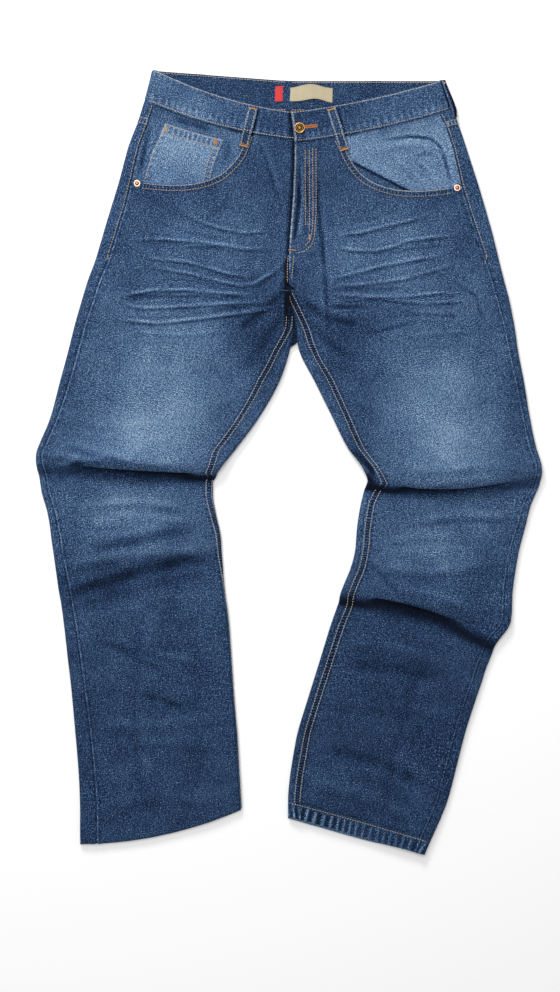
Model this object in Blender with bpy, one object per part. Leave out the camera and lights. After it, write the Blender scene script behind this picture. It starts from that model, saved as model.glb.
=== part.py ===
"""Five-pocket denim jeans laid flat on their back, front up, waist towards +Y.

Lengths are in millimetres until a mesh is made, and the origin is on the surface
that the jeans lie on, under the middle of their outline. Sides are the wearer's,
so the right leg lies on the -X side.
"""

import math
from collections import namedtuple

import bpy
import numpy as np
from mathutils import Vector
from mathutils.bvhtree import BVHTree

METRES = 0.001

# Cloth and trim, real thicknesses
DENIM = 1.2
BAND_WALL = 2.0
HEM_WALL = 2.2
SEAM_GAP = 0.3
EDGE_ROLL = 5.0

# Front pockets
MOUTH_RIGHT = 143.0
MOUTH_LEFT = 150.0
FACING_UNDERLAP = 12.0
FACING_REACH = 1.1
FACING_DROP_RIGHT = 3.1
FACING_DROP_LEFT = 2.6

# Coin pocket: how far its top and foot lie below the waist seam, its width, how
# far it stands in from the outseam and leans towards it, and what the facing keeps
COIN_TOP, COIN_FOOT = 17.0, 88.0
COIN_WIDTH = 82.0
COIN_ASIDE = 22.0
COIN_SLANT = 0.1
COIN_MARGIN = 4.0

# Belt loops
LOOP_WIDTH = 13.0
LOOP_WALL = 1.3
LOOP_BULGE = 1.6
LOOP_RIGHT_TOP, LOOP_RIGHT_FOOT = (-47.5, 486), (-61.5, 431)
LOOP_LEFT_TOP, LOOP_LEFT_FOOT = (59, 484.5), (77.5, 426)
SIDE_LOOP_TOP, SIDE_LOOP_FOOT = 0.98, 12.0
SIDE_LOOP_PLACES = (1.05, 1.19, 1.33, 1.48, 1.62)

# Button and rivets
BUTTON_DIAMETER = 14.8
BUTTON_X, BUTTON_Y = 15.9, 457.4
RIVET_DIAMETER = 9.5
RIVET_RIGHT, RIVET_LEFT = (-206.5, 381.5), (231.5, 375.5)

# Label and tab inside the back waistband
LABEL_LENGTH, LABEL_DEPTH = 64.0, 19.0
LABEL_X, LABEL_Y = 29.0, 505.5
TAB_LENGTH, TAB_DEPTH = 12.5, 21.0
TAB_X, TAB_Y = -11.5, 505.5
LABEL_WALL = 1.0
LABEL_WAVE, TAB_WAVE = 1.6, 0.6

# Back pockets, in the plane that the jeans lie on
POCKET_TOP, POCKET_SIDE, POCKET_POINT = 402.0, 266.0, 249.0
POCKET_INNER, POCKET_OUTER = 36.0, 182.0
POCKET_TAPER = 8.0

# Spacing of the rows down a leg, in smooth cloth and in a fold
ROW_STEP = 34.0
THIGH_STEP = 21.0
FOLD_STEP = 7.0

# Where a pocket mouth and its facing get their rows, in degrees of the curve
MOUTH_ANGLES = (0, 15, 30, 44, 56, 66, 75, 83)
FACING_ANGLES = (0, 15, 30, 43, 55, 65, 73)

# Where the columns lie, as shares of the cloth's width or as ring places
FRONT_SHARES = (0, 0.03, 0.09, 0.19, 0.34, 0.5, 0.64, 0.75, 0.85, 0.94, 1)
OUTER_WRAP_SHARES = (0, 0.2, 0.4, 0.6, 0.8, 1)
FLOOR_PLACES = (2.33, 2.67, 3)
INNER_WRAP_SHARES = (0.12, 0.25, 0.4, 0.66, 1)
FACING_SHARES = (0, 0.125, 0.25, 0.375, 0.5, 0.625, 0.75, 0.875, 1)
COIN_SHARES = (0, 0.17, 0.33, 0.5, 0.67, 0.83, 1)
COIN_ROWS = (0, 0.3, 0.55, 0.75, 0.9, 1)

# A fold starts inside the inner seam and fades out towards the outer edge
FOLD_START_RIGHT, FOLD_START_LEFT = 0.08, 0.13
FOLD_FADE_IN, FOLD_FADE_OUT, FOLD_END = 0.17, 0.26, 0.88

# Bend left over inside a rounded edge, and how softly a crease ends
ROLL_CLEARANCE = 0.4
CREASE_END = 15.0

# How far the end of the right leg is tucked under itself
TUCK_CURL = 3.0
TUCK_DEPTH = 30.0

# One row across a leg, from the inner edge to the outer edge. x and y place both
# edges, bow bends the row along y, and the three heights are of the upper face.
# roll is how far the inner edge rounds over (none above the crotch). seam_out and
# seam_in are how far the seams lie from the edges, along the cloth. rise lifts the
# back waist above the front one, lift is the underside's height over the back
# pockets, and over folds the upper cloth back towards the waist.
Section = namedtuple(
    "Section",
    "name x_out y_out x_in y_in bow h_out h_mid h_in roll seam_out seam_in rise lift over",
)

RIGHT_SECTIONS = [
    Section("waist seam", -197, 495, 17, 442, -9, 8, 7, 5.2, 0, 17, 0, 39, 0, 0),
    Section("yoke end", -207, 464, 17, 414, -8, 8.5, 8, 5.6, 0, 17, 0, 14, 0, 0),
    Section("pocket middle", -218, 435, 16, 394, -6, 9, 8.5, 6, 0, 17, 0, 8, 1.5, 0),
    Section("pocket rivet", -231, 387, 15, 369, -4, 9.5, 9, 6, 0, 19, 0, 0, 1.5, 0),
    Section("hip", -241, 354, 13, 339, -2, 9.5, 9.5, 6, 0, 21, 0, 0, 1.5, 0),
    Section("fly end", -251, 321, 9, 308, 0, 9.5, 9.5, 6, 0, 21, 0, 0, 1.5, 0),
    Section("seat", -264, 277, 4, 275, 0, 9.5, 9.5, 6, 0, 20, 0, 0, 1.5, 0),
    Section("above crotch", -275, 247, 0, 246, 0, 9.5, 9.5, 7, 0, 18, 0, 0, 1.5, 0),
    Section("crotch", -279, 234, 0.5, 235, 0, 9.5, 9.5, 8, 3, 18, 6, 0, 1.5, 0),
    Section("upper thigh", -293, 186, 7.5, 184, 0, 8.5, 9, 7, 4.5, 16, 14, 0, 0, 0),
    Section("thigh top", -301, 154, 2.5, 154, 0, 8, 9.5, 7, 5, 15, 25, 0, 0, 0),
    Section("thigh", -312, 113, -11, 113, 0, 8, 10, 7, 5, 15, 33, 0, 0, 0),
    Section("thigh low", -327, 58, -42, 58, -2, 8, 12, 8, 5, 11, 33, 0, 0, 0),
    Section("above knee", -340, 27, -75, 14, -3, 9, 17, 10, 5, 11, 32, 0, 0, 0),
    Section("knee crest", -345, 12, -90, -5, -4, 12, 23, 14, 5, 11, 24, 0, 0, 0),
    Section("knee fold", -345.5, 2, -97, -15, -4, 10, 17, 11, 5, 11, 20, 0, 0, 0),
    Section("knee tuck", -345, -3, -98, -18.5, -2, 8.8, 11.5, 9, 5, 11, 16, 0, 0, 8),
    Section("knee hollow", -344.5, -6, -99, -20.5, -2, 8, 8.3, 7.8, 5, 11, 14, 0, 0, 15),
    Section("knee valley", -344, -9, -100, -22.5, -2, 7.5, 5.8, 7, 5, 11, 13, 0, 0, 14),
    Section("shin top", -341, -20, -103, -28, -2, 7, 6, 6.5, 5, 11, 12, 0, 0, 0),
    Section("shin", -338, -40, -103, -45, 0, 7, 7, 6.5, 5, 11, 12, 0, 0, 0),
    Section("shin middle", -330, -68, -99, -68, 0, 7, 8, 6.5, 5, 12, 11, 0, 0, 0),
    Section("calf ridge", -321, -128, -93, -101, 0, 8, 13, 9, 5, 14, 9, 0, 0, 0),
    Section("calf slope", -318, -150, -92, -116, 0, 7.5, 9.5, 8, 5, 15, 8, 0, 0, 0),
    Section("calf valley", -315, -172, -91, -130, 0, 6.5, 5.5, 6, 5, 16, 7, 0, 0, 0),
    Section("below valley", -311, -194, -89, -158, 0, 7, 8, 6.5, 5, 16, 4, 0, 0, 0),
    Section("calf", -305, -243, -82, -218, 0, 7, 9, 7, 5, 18, 2, 0, 0, 0),
    Section("ankle trough", -297, -312, -74, -328, 0, 7, 7, 5.8, 5, 20, 2, 0, 0, 0),
    Section("ankle", -292, -366, -70, -377, 0, 7, 8.5, 6.5, 5, 22, 2, 0, 0, 0),
    Section("low leg", -287, -428, -67, -428, -3, 7, 8.5, 6.5, 5, 23, 2, 0, 0, 0),
    Section("near end", -285, -480, -66, -446, -9, 7, 8, 6.8, 5, 24, 2, 0, 1.5, 0),
    Section("turned end", -285, -521, -64, -474, -11, 6.5, 6.5, 6.5, 5, 24, 2, 0, 1.5, 0),
]

LEFT_SECTIONS = [
    Section("waist seam", 226.7, 484, 9, 438, -5, 8, 7.5, 8.3, 0, 23, 0, 43, 0, 0),
    Section("yoke end", 234, 462, 9, 414, -6, 8.5, 8, 8.4, 0, 20, 0, 14, 0, 0),
    Section("pocket middle", 244, 432, 8, 394, -7, 9, 8.5, 8.4, 0, 20, 0, 8, 1.5, 0),
    Section("pocket rivet", 260, 382, 7, 367, -8, 9.5, 9, 8.4, 0, 25, 0, 0, 1.5, 0),
    Section("hip", 268.5, 354, 5, 339, -4, 9.5, 9.5, 8.4, 0, 25, 0, 0, 1.5, 0),
    Section("fly end", 278, 321, 2.5, 308, 0, 9.5, 9.5, 8.4, 0, 24, 0, 0, 1.5, 0),
    Section("seat", 289, 277, 1.5, 275, 0, 9.5, 9.5, 8.4, 0, 20, 0, 0, 1.5, 0),
    Section("above crotch", 296.5, 247, 1, 246, 0, 9.5, 9.5, 8.2, 0, 18, 0, 0, 1.5, 0),
    Section("crotch", 300, 234, 1.9, 235, 0, 9.5, 9.5, 8, 3, 18, 6, 0, 1.5, 0),
    Section("upper thigh", 310.5, 186, 11.5, 184, 0, 8.5, 9, 7, 4.5, 15, 20, 0, 0, 0),
    Section("thigh top", 315, 154, 15, 154, 0, 8, 9.5, 7, 5, 13, 27, 0, 0, 0),
    Section("thigh", 323, 113, 35.6, 113, 0, 8, 10, 7, 5, 12, 29, 0, 0, 0),
    Section("thigh low", 330, 69, 57.5, 69, -3, 8, 12, 8, 5, 10, 28, 0, 0, 0),
    Section("above knee", 340, 20, 82, 20, -8, 9, 17, 10, 5, 10, 27, 0, 0, 0),
    Section("knee crest", 347, -3, 103, -9, -15, 12, 22, 13, 5, 10, 30, 0, 0, 0),
    Section("knee fold", 348, -14, 109, -25, -17, 10, 16, 10, 5, 10, 31, 0, 0, 0),
    Section("knee tuck", 347.5, -18.5, 108, -29, -15, 8.8, 11, 8.8, 5, 10, 29, 0, 0, 8),
    Section("knee hollow", 347, -21.5, 107, -31.5, -14, 8, 8.2, 7.8, 5, 10, 28, 0, 0, 15),
    Section("knee valley", 346, -24.5, 106, -34, -13, 7.5, 5.8, 7, 5, 10, 26, 0, 0, 14),
    Section("shin top", 343, -35.5, 103.5, -41, -10, 7, 6, 6.5, 5, 10, 24, 0, 0, 0),
    Section("shin", 334, -55.5, 100, -55.5, -4, 7, 7, 6.5, 5, 11, 21, 0, 0, 0),
    Section("shin middle", 326, -85.5, 95, -85.5, 0, 7, 8, 6.5, 5, 12, 21, 0, 0, 0),
    Section("calf", 316.5, -122.5, 92, -120, 0, 7.5, 9, 7, 5, 14, 21, 0, 0, 0),
    Section("above calf fold", 308, -175, 85, -147, -1, 8, 11, 8, 5, 14, 22, 0, 0, 0),
    Section("calf crest", 305, -219, 77, -166, 1, 9, 18, 10, 5, 14, 22, 0, 0, 0),
    Section("calf fold", 290, -242, 72, -179, 11, 8, 12.5, 8.5, 5, 14, 22, 0, 0, 0),
    Section("calf tuck", 287, -246, 71, -182.5, 11, 7.8, 9.3, 7.9, 5, 14, 22, 0, 0, 6),
    Section("calf hollow", 285, -249.5, 70.5, -185.5, 11, 7.4, 7.2, 7.3, 5, 14, 22, 0, 0, 11),
    Section("calf valley", 283, -253, 70, -189, 11, 7, 5.6, 6.8, 5, 14, 22, 0, 0, 10),
    Section("below fold", 279, -264, 67, -199, 10, 7, 6.5, 6.5, 5, 14, 22, 0, 0, 0),
    Section("lower calf", 272.5, -280, 59.5, -220, 8, 7, 8, 6.5, 5, 14, 21, 0, 0, 0),
    Section("ankle trough", 266, -300, 42.5, -275, 2, 6.5, 5.8, 5.8, 5, 14, 20, 0, 0, 0),
    Section("ankle", 256, -329, 27.5, -323, 0, 7, 8, 6.5, 5, 15, 20, 0, 0, 0),
    Section("low leg", 240, -381, 14, -367, 3, 7, 8.5, 6.5, 5, 15, 20, 0, 0, 0),
    Section("low trough", 221, -456, 9, -391, 11, 6.5, 5.8, 5.8, 5, 15, 20, 0, 0, 0),
    Section("above hem", 210, -486, 3, -428, 7, 7, 7.5, 6.8, 5, 15, 20, 0, 0, 0),
    Section("hem stitching", 195, -519, 0, -464, 1, 8, 7.5, 7.6, 5, 15, 20, 0, 0, 0),
    Section("hem", 187, -537.5, 0, -484, 0, 8, 7.5, 7.6, 5, 15, 20, 0, 0, 0),
]

# The waistband reaches up from the waist seam by these steps, from the centre
# front over the side to the centre back
BandStep = namedtuple("BandStep", "place across up")
RIGHT_BAND = [
    BandStep("centre front", -3, 38),
    BandStep("front", 5, 40),
    BandStep("side", 11, 43),
    BandStep("centre back", 0, 42),
]
LEFT_BAND = [
    BandStep("centre front", -5, 42),
    BandStep("front", -7, 42),
    BandStep("side", -13, 40),
    BandStep("centre back", 0, 42),
]

# Largest raised creases on the upper face, as lines with soft sides and ends
Crease = namedtuple("Crease", "x0 y0 x1 y1 width height")
CREASES = [
    Crease(-149, 345, -32, 314, 9, 2.0),
    Crease(-208, 306, -30, 290, 10, 2.4),
    Crease(-205, 270, -10, 256, 10, 2.2),
    Crease(-245, 226, -55, 229, 10, 2.2),
    Crease(-236, 199, -20, 213, 9, 2.4),
    Crease(68, 312, 193, 338, 9, 2.0),
    Crease(66, 290, 236, 311, 10, 2.2),
    Crease(54, 250, 214, 282, 10, 2.4),
    Crease(54, 237, 245, 270, 9, 2.2),
    Crease(54, 222, 255, 222, 10, 2.2),
    Crease(44, 355, 58, 190, 8, 2.0),
]


def smooth(value):
    """Rises from 0 to 1 with level ends."""
    value = np.clip(value, 0, 1)
    return value * value * (3 - 2 * value)


def limited(tangent, one_side, other_side):
    """Keeps a tangent under three times the lesser slope beside it."""
    least = 3 * np.minimum(abs(one_side), abs(other_side))
    return np.clip(tangent, -least, least)


def crease_height(x, y):
    """Adds up the raised creases over a place."""
    total = np.zeros_like(x)
    for crease in CREASES:
        run = np.array([crease.x1 - crease.x0, crease.y1 - crease.y0], float)
        length = np.hypot(*run)
        run /= length
        along = (x - crease.x0) * run[0] + (y - crease.y0) * run[1]
        aside = (y - crease.y0) * run[0] - (x - crease.x0) * run[1]
        near = smooth((along + CREASE_END) / (2 * CREASE_END))
        far = smooth((length - along + CREASE_END) / (2 * CREASE_END))
        total += crease.height * near * far * np.exp(-((aside / crease.width) ** 2))
    return total


class Leg:
    """The outer face of one leg and its half of the hips.

    t runs down the leg in millimetres. s runs round it: 0 to 1 over the top from
    the inner to the outer edge, 1 to 2 round the outer edge, 2 to 3 back along the
    floor, and 3 to 4 round the inner edge.
    """

    def __init__(self, sections, side, band, fold_start, tucked):
        self.sections = sections
        self.fold_start = fold_start
        self.side = side
        self.band = band
        middles = [self.section_points(row, np.array([0.5]))[0] for row in sections]
        steps = [math.dist(a, b) for a, b in zip(middles, middles[1:])]
        self.knots = np.concatenate([[0], np.cumsum(steps)])
        self.length = self.knots[-1]
        self.tucked = tucked
        names = [row.name for row in sections]
        self.yoke_t = self.knots[names.index("yoke end")]
        self.rivet_t = self.knots[names.index("pocket rivet")]
        self.crotch_t = self.knots[names.index("crotch")]
        self.thigh_t = self.knots[names.index("thigh")]
        self.hem_t = None
        if "hem stitching" in names:
            self.hem_t = self.knots[names.index("hem stitching")]

    def column(self, name, t):
        values = [getattr(row, name) for row in self.sections]
        return np.interp(t, self.knots, values)

    def wall(self, t):
        if self.hem_t is None:
            return np.full_like(t, DENIM)
        return DENIM + (HEM_WALL - DENIM) * smooth((t - self.hem_t + 3) / 3)

    def section_points(self, row, s):
        """Points of one section for ring places s."""
        s = np.where(s > 3, s - 4, s)
        inner = np.array([row.x_in, row.y_in], float)
        outer = np.array([row.x_out, row.y_out], float)
        width = np.hypot(*(outer - inner))
        across = (outer - inner) / width
        thinnest = HEM_WALL if row.name.startswith("hem") else DENIM
        half_out = (row.h_out - row.lift) / 2
        half_in = (row.h_in - row.lift) / 2
        round_out = min(EDGE_ROLL, half_out**2 / (thinnest + ROLL_CLEARANCE))
        round_in = min(row.roll, half_in**2 / (thinnest + ROLL_CLEARANCE))

        u = np.clip(s, 0, 1)
        reach = round_in + u * (width - round_in - round_out)
        hump = 4 * u * (1 - u)
        folded = smooth((u - self.fold_start) / FOLD_FADE_IN) * smooth((FOLD_END - u) / FOLD_FADE_OUT)
        x = inner[0] + across[0] * reach
        y = inner[1] + across[1] * reach + row.bow * hump + row.over * folded
        first = row.h_in + (row.h_mid - row.h_in) * smooth(2 * u)
        second = row.h_mid + (row.h_out - row.h_mid) * smooth(2 * u - 1)
        z = np.where(u < 0.5, first, second)
        top = np.stack([x, y, z], axis=-1)

        turn = (np.clip(s, 1, 2) - 1) * math.pi
        plan = outer - across * round_out + (across * round_out) * np.sin(turn)[..., None]
        height = row.lift + half_out * (1 + np.cos(turn))
        outer_edge = np.concatenate([plan, height[..., None]], axis=-1)

        turn = -np.clip(s, -1, 0) * math.pi
        plan = inner + across * round_in - (across * round_in) * np.sin(turn)[..., None]
        height = row.lift + half_in * (1 + np.cos(turn))
        inner_edge = np.concatenate([plan, height[..., None]], axis=-1)

        back = np.clip(s, 2, 3) - 2
        start = outer - across * round_out
        if row.roll:
            end = inner + across * round_in
            bend = row.bow
        else:
            end = np.array([self.side * SEAM_GAP / 2, row.y_in + row.rise])
            bend = 0.0
        plan = start + (end - start) * back[..., None]
        plan[..., 1] += bend * 4 * back * (1 - back)
        height = np.full(s.shape, float(row.lift))
        floor = np.concatenate([plan, height[..., None]], axis=-1)

        points = np.where((s >= 0)[..., None], top, inner_edge)
        points = np.where((s > 1)[..., None], outer_edge, points)
        return np.where((s > 2)[..., None], floor, points)

    def at(self, t, s):
        """Points for arrays t and s: smooth curves through the sections."""
        t, s = np.broadcast_arrays(np.asarray(t, float), np.asarray(s, float))
        shape = t.shape
        t, s = t.ravel(), s.ravel()
        out = np.zeros((t.size, 3))
        inside = np.clip(t, 0, self.length)
        spans = np.clip(np.searchsorted(self.knots, inside, side="right") - 1, 0, len(self.knots) - 2)
        for span in np.unique(spans):
            here = spans == span
            out[here] = self.between(span, inside[here], s[here])
        ring = np.where(s > 3, s - 4, s)
        on_top = (ring > 0) & (ring < 1)
        edge = smooth(np.minimum(ring, 1 - ring) * 8)
        out[:, 2] += np.where(on_top, crease_height(out[:, 0], out[:, 1]) * edge, 0)
        past = t - self.length
        if self.tucked and (past > 0).any():
            out = self.tuck(out, past)
        return out.reshape(shape + (3,))

    def between(self, span, t, s):
        """Hermite blend between two sections that never overshoots them."""
        last = len(self.sections) - 1
        rows = [min(max(span + k, 0), last) for k in (-1, 0, 1, 2)]
        knots = [self.knots[k] for k in rows]
        points = [self.section_points(self.sections[k], s) for k in rows]
        step = knots[2] - knots[1]
        slope = (points[2] - points[1]) / step
        before = slope if rows[0] == rows[1] else (points[1] - points[0]) / (knots[1] - knots[0])
        after = slope if rows[3] == rows[2] else (points[3] - points[2]) / (knots[3] - knots[2])
        near = max(knots[1] - knots[0], step)
        far = max(knots[3] - knots[2], step)
        start = (before * step + slope * near) / (step + near)
        end = (slope * far + after * step) / (step + far)
        start = np.where(before * slope > 0, limited(start, before, slope), 0)
        end = np.where(after * slope > 0, limited(end, after, slope), 0)
        f = ((t - knots[1]) / step)[:, None]
        return (
            (2 * f**3 - 3 * f**2 + 1) * points[1]
            + (f**3 - 2 * f**2 + f) * step * start
            + (3 * f**2 - 2 * f**3) * points[2]
            + (f**3 - f**2) * step * end
        )

    def tuck(self, points, past):
        """Carries the cloth round the end of the leg and back beneath it."""
        last, previous = self.sections[-1], self.sections[-2]
        down = np.array(
            [
                (last.x_out + last.x_in - previous.x_out - previous.x_in) / 2,
                (last.y_out + last.y_in - previous.y_out - previous.y_in) / 2,
            ]
        )
        down /= np.hypot(*down)
        half = points[:, 2] / 2
        curl = math.pi * TUCK_CURL
        turn = np.clip(past / curl, 0, 1) * math.pi
        back = np.clip(past - curl, 0, None)
        reach = TUCK_CURL * np.sin(turn) - back
        moved = points.copy()
        moved[:, :2] += down * reach[:, None]
        moved[:, 2] = half * (1 + np.cos(turn))
        return np.where((past > 0)[:, None], moved, points)

    def places(self, t, start, end, fractions):
        """Ring places at fractions of the cloth's own length between two places."""
        fine = start + (end - start) * np.linspace(0, 1, 161)
        points = self.at(np.full(fine.shape, t), fine)
        steps = np.linalg.norm(np.diff(points, axis=0), axis=1)
        along = np.concatenate([[0], np.cumsum(steps)])
        return np.interp(np.asarray(fractions) * along[-1], along, fine)

    def from_outer(self, t, distance):
        """Ring place at a distance in from the outer edge, over the top."""
        fine = np.linspace(1.5, 0, 241)
        return self.measured(t, fine, distance)

    def from_inner(self, t, distance):
        """Ring place at a distance in from the inner edge, over the top."""
        if t < self.crotch_t - 0.01:
            return self.measured(t, np.linspace(0, 0.5, 161), distance)
        return self.measured(t, np.linspace(-0.5, 0.5, 161), distance)

    def measured(self, t, fine, distance):
        points = self.at(np.full(fine.shape, min(t, self.length)), fine)
        steps = np.linalg.norm(np.diff(points, axis=0), axis=1)
        return float(np.interp(distance, np.concatenate([[0], np.cumsum(steps)]), fine))

    def rows(self, first, last):
        """Row places from first to last, closest where the cloth folds over."""
        inside = [k for k in self.knots if first + 2 < k < last - 2]
        marks = [first] + inside + [last]
        found = [first]
        for a, b in zip(marks, marks[1:]):
            step = THIGH_STEP if b < self.thigh_t else ROW_STEP
            if self.column("over", (a + b) / 2) > 0:
                step = FOLD_STEP
            count = max(1, math.ceil((b - a) / step))
            found += [a + (b - a) * k / count for k in range(1, count + 1)]
        return found


def normals(point, a, b, lean_a=0.4, lean_b=0.004):
    """Unit normals of a surface function by small steps."""
    along = point(a + lean_a, b) - point(a - lean_a, b)
    round_it = point(a, b + lean_b) - point(a, b - lean_b)
    cross = np.cross(round_it, along)
    return cross / np.linalg.norm(cross, axis=-1, keepdims=True)


def build_shell(name, finish, outer, inner, present=None):
    """Closes two matching grids of points into one wall and makes its object."""
    rows, cols = outer.shape[:2]
    if present is None:
        present = np.ones((rows - 1, cols - 1), bool)
    used, faces = {}, []

    def vertex(layer, i, j):
        return used.setdefault((layer, i, j), len(used))

    for i in range(rows - 1):
        for j in range(cols - 1):
            if not present[i, j]:
                continue
            ring = [(i, j), (i + 1, j), (i + 1, j + 1), (i, j + 1)]
            for half in (ring[:3], [ring[0], ring[2], ring[3]]):
                faces.append([vertex(0, *k) for k in half])
                faces.append([vertex(1, *k) for k in reversed(half)])
            beside = [(i, j - 1), (i + 1, j), (i, j + 1), (i - 1, j)]
            for k, (r, c) in enumerate(beside):
                if 0 <= r < rows - 1 and 0 <= c < cols - 1 and present[r, c]:
                    continue
                a, b = ring[k], ring[(k + 1) % 4]
                faces.append([vertex(0, *b), vertex(0, *a), vertex(1, *a), vertex(1, *b)])
    points = [tuple((outer if layer == 0 else inner)[i, j]) for layer, i, j in used]
    return add_object(name, finish, points, faces)


def add_object(name, finish, points, faces):
    mesh = bpy.data.meshes.new(name)
    mesh.from_pydata([tuple(METRES * float(c) for c in p) for p in points], [], faces)
    mesh.validate()
    volume = signed_volume(mesh)
    if volume < 0:
        mesh.flip_normals()
    mesh.shade_smooth()
    mesh.set_sharp_from_angle(angle=math.radians(40))
    piece = bpy.data.objects.new(name, mesh)
    piece.data.materials.append(finish)
    bpy.context.scene.collection.objects.link(piece)
    return piece


def signed_volume(mesh):
    total = 0.0
    for face in mesh.polygons:
        corners = [mesh.vertices[k].co for k in face.vertices]
        for a, b in zip(corners[1:], corners[2:]):
            total += corners[0].dot(a.cross(b))
    return total


def material(name, colour, roughness, metallic=0.0):
    made = bpy.data.materials.new(name)
    made.use_nodes = True
    shader = made.node_tree.nodes["Principled BSDF"]
    shader.inputs["Base Color"].default_value = (*colour, 1)
    shader.inputs["Roughness"].default_value = roughness
    shader.inputs["Metallic"].default_value = metallic
    return made


def surface(leg):
    """Leg surface as a function that stays inside the leg's own ends."""

    def point(t, s):
        lowest = np.where(np.asarray(t) < leg.crotch_t - 0.01, 0.0, -0.9)
        return leg.at(np.clip(t, 0, None), np.maximum(s, lowest))

    return point


def leg_shell(leg, name, finish, row_places, row_span, fractions, drop=0.0, wall=None):
    """A wall on the leg's surface, its ends given row by row by row_span(t)."""
    count = len(fractions)
    s = np.array([leg.places(t, *row_span(t), fractions) for t in row_places])
    t = np.repeat(np.array(row_places)[:, None], count, axis=1)
    point = surface(leg)
    face = point(t, s)
    lean = normals(point, t, s) * -leg.side
    face = face - np.array([0, 0, drop])
    thick = leg.wall(t) if wall is None else np.full(t.shape, wall)
    return build_shell(name, finish, face, face - lean * thick[..., None])


def mouth(leg, opening, t, reach=1.0, extra=0.0):
    """How far the pocket mouth lies from the outseam, a quarter of an ellipse."""
    share = 1 - (t / (leg.rivet_t * reach)) ** 2
    return (opening + extra) * math.sqrt(max(share, 0))


def front_panel(leg, name, finish, opening):
    """Front leg panel, from the fly and inseam to the pocket mouth and outseam."""

    def span(t):
        start = leg.from_inner(t, leg.column("seam_in", min(t, leg.length)))
        edge = leg.column("seam_out", min(t, leg.length)) + SEAM_GAP / 2
        return start, leg.from_outer(t, edge + mouth(leg, opening, t))

    top = [max(leg.rivet_t * math.sin(math.radians(k)), SEAM_GAP) for k in MOUTH_ANGLES]
    bottom = leg.length
    places = top + leg.rows(leg.rivet_t, bottom)
    if leg.tucked:
        curl = math.pi * TUCK_CURL
        places += [bottom + curl * k / 4 for k in (1, 2, 3, 4)]
        places += [bottom + curl + TUCK_DEPTH * k for k in (0.5, 1)]
    return leg_shell(leg, name, finish, places, span, FRONT_SHARES)


def back_ring(leg, name, finish, first, last):
    """Back panel or yoke: over the outseam, under the leg and up to the inseam."""
    places = leg.rows(first, last)
    full = last > leg.crotch_t
    if full:
        places = sorted(set(places) | {leg.crotch_t})
    rows = []
    for t in places:
        edge = leg.column("seam_out", t) - SEAM_GAP / 2
        outer = leg.places(t, leg.from_outer(t, edge), 2, OUTER_WRAP_SHARES)
        floor = np.array(FLOOR_PLACES)
        seam = leg.from_inner(t, leg.column("seam_in", t) - SEAM_GAP)
        inner = leg.places(max(t, leg.crotch_t), 3, 4 + seam, INNER_WRAP_SHARES)
        rows.append(np.concatenate([outer, floor, inner] if full else [outer, floor]))
    s = np.array(rows)
    t = np.repeat(np.array(places)[:, None], s.shape[1], axis=1)

    def point(a, b):
        return leg.at(np.clip(a, 0, leg.length), b)

    lean = normals(point, t, s)
    bare = s <= 3
    stop = np.isclose(s, 3) & (t < leg.crotch_t - 0.01)
    near = normals(point, t, np.where(stop, 2.99, s))
    lean = np.where(stop[..., None], near, lean) * -leg.side
    face = point(t, s)
    thick = leg.wall(t)[..., None]
    present = np.ones((len(places) - 1, s.shape[1] - 1), bool)
    for i, place in enumerate(places[:-1]):
        if place < leg.crotch_t - 0.01:
            present[i] = bare[i][1:]
    return build_shell(name, finish, face, face - lean * thick, present)


def pocket_facing(leg, name, finish, opening, drop):
    """Denim facing under the pocket mouth, a little larger than the mouth."""

    def span(t):
        edge = leg.column("seam_out", t) + SEAM_GAP
        far = edge + mouth(leg, opening, t, FACING_REACH, FACING_UNDERLAP)
        return leg.from_outer(t, far), leg.from_outer(t, edge)

    foot = leg.rivet_t * FACING_REACH
    places = [max(foot * math.sin(math.radians(k)), SEAM_GAP) for k in FACING_ANGLES]
    return leg_shell(leg, name, finish, places, span, FACING_SHARES, drop, DENIM)


def coin_pocket(leg, finish):
    """Small pocket on the facing, its lower corner under the front panel."""

    def span(t):
        seam = leg.column("seam_out", t)
        edge = seam + COIN_ASIDE - COIN_SLANT * (t - COIN_TOP)
        facing = seam + mouth(leg, MOUTH_RIGHT, t, FACING_REACH, FACING_UNDERLAP)
        far = min(edge + COIN_WIDTH, facing - COIN_MARGIN)
        return leg.from_outer(t, far), leg.from_outer(t, edge)

    places = [COIN_TOP + (COIN_FOOT - COIN_TOP) * share for share in COIN_ROWS]
    drop = FACING_DROP_RIGHT - DENIM - SEAM_GAP
    return leg_shell(leg, "coin_pocket", finish, places, span, COIN_SHARES, drop, DENIM)


def band_point(leg, share, s):
    """A point of the waistband: share runs from the seam to the upper edge."""
    low = leg.at(np.zeros_like(s), s)
    stops = [0, 0.5, 1, 2, 3]
    steps = [leg.band[0], leg.band[1], leg.band[2], leg.band[2], leg.band[3]]
    across = np.interp(s, stops, [step.across for step in steps])
    up = np.interp(s, stops, [step.up for step in steps])
    moved = low.copy()
    moved[..., 0] += across * share
    moved[..., 1] += up * share
    moved[..., 2] *= 1 + 0.1 * share
    return moved


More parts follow.
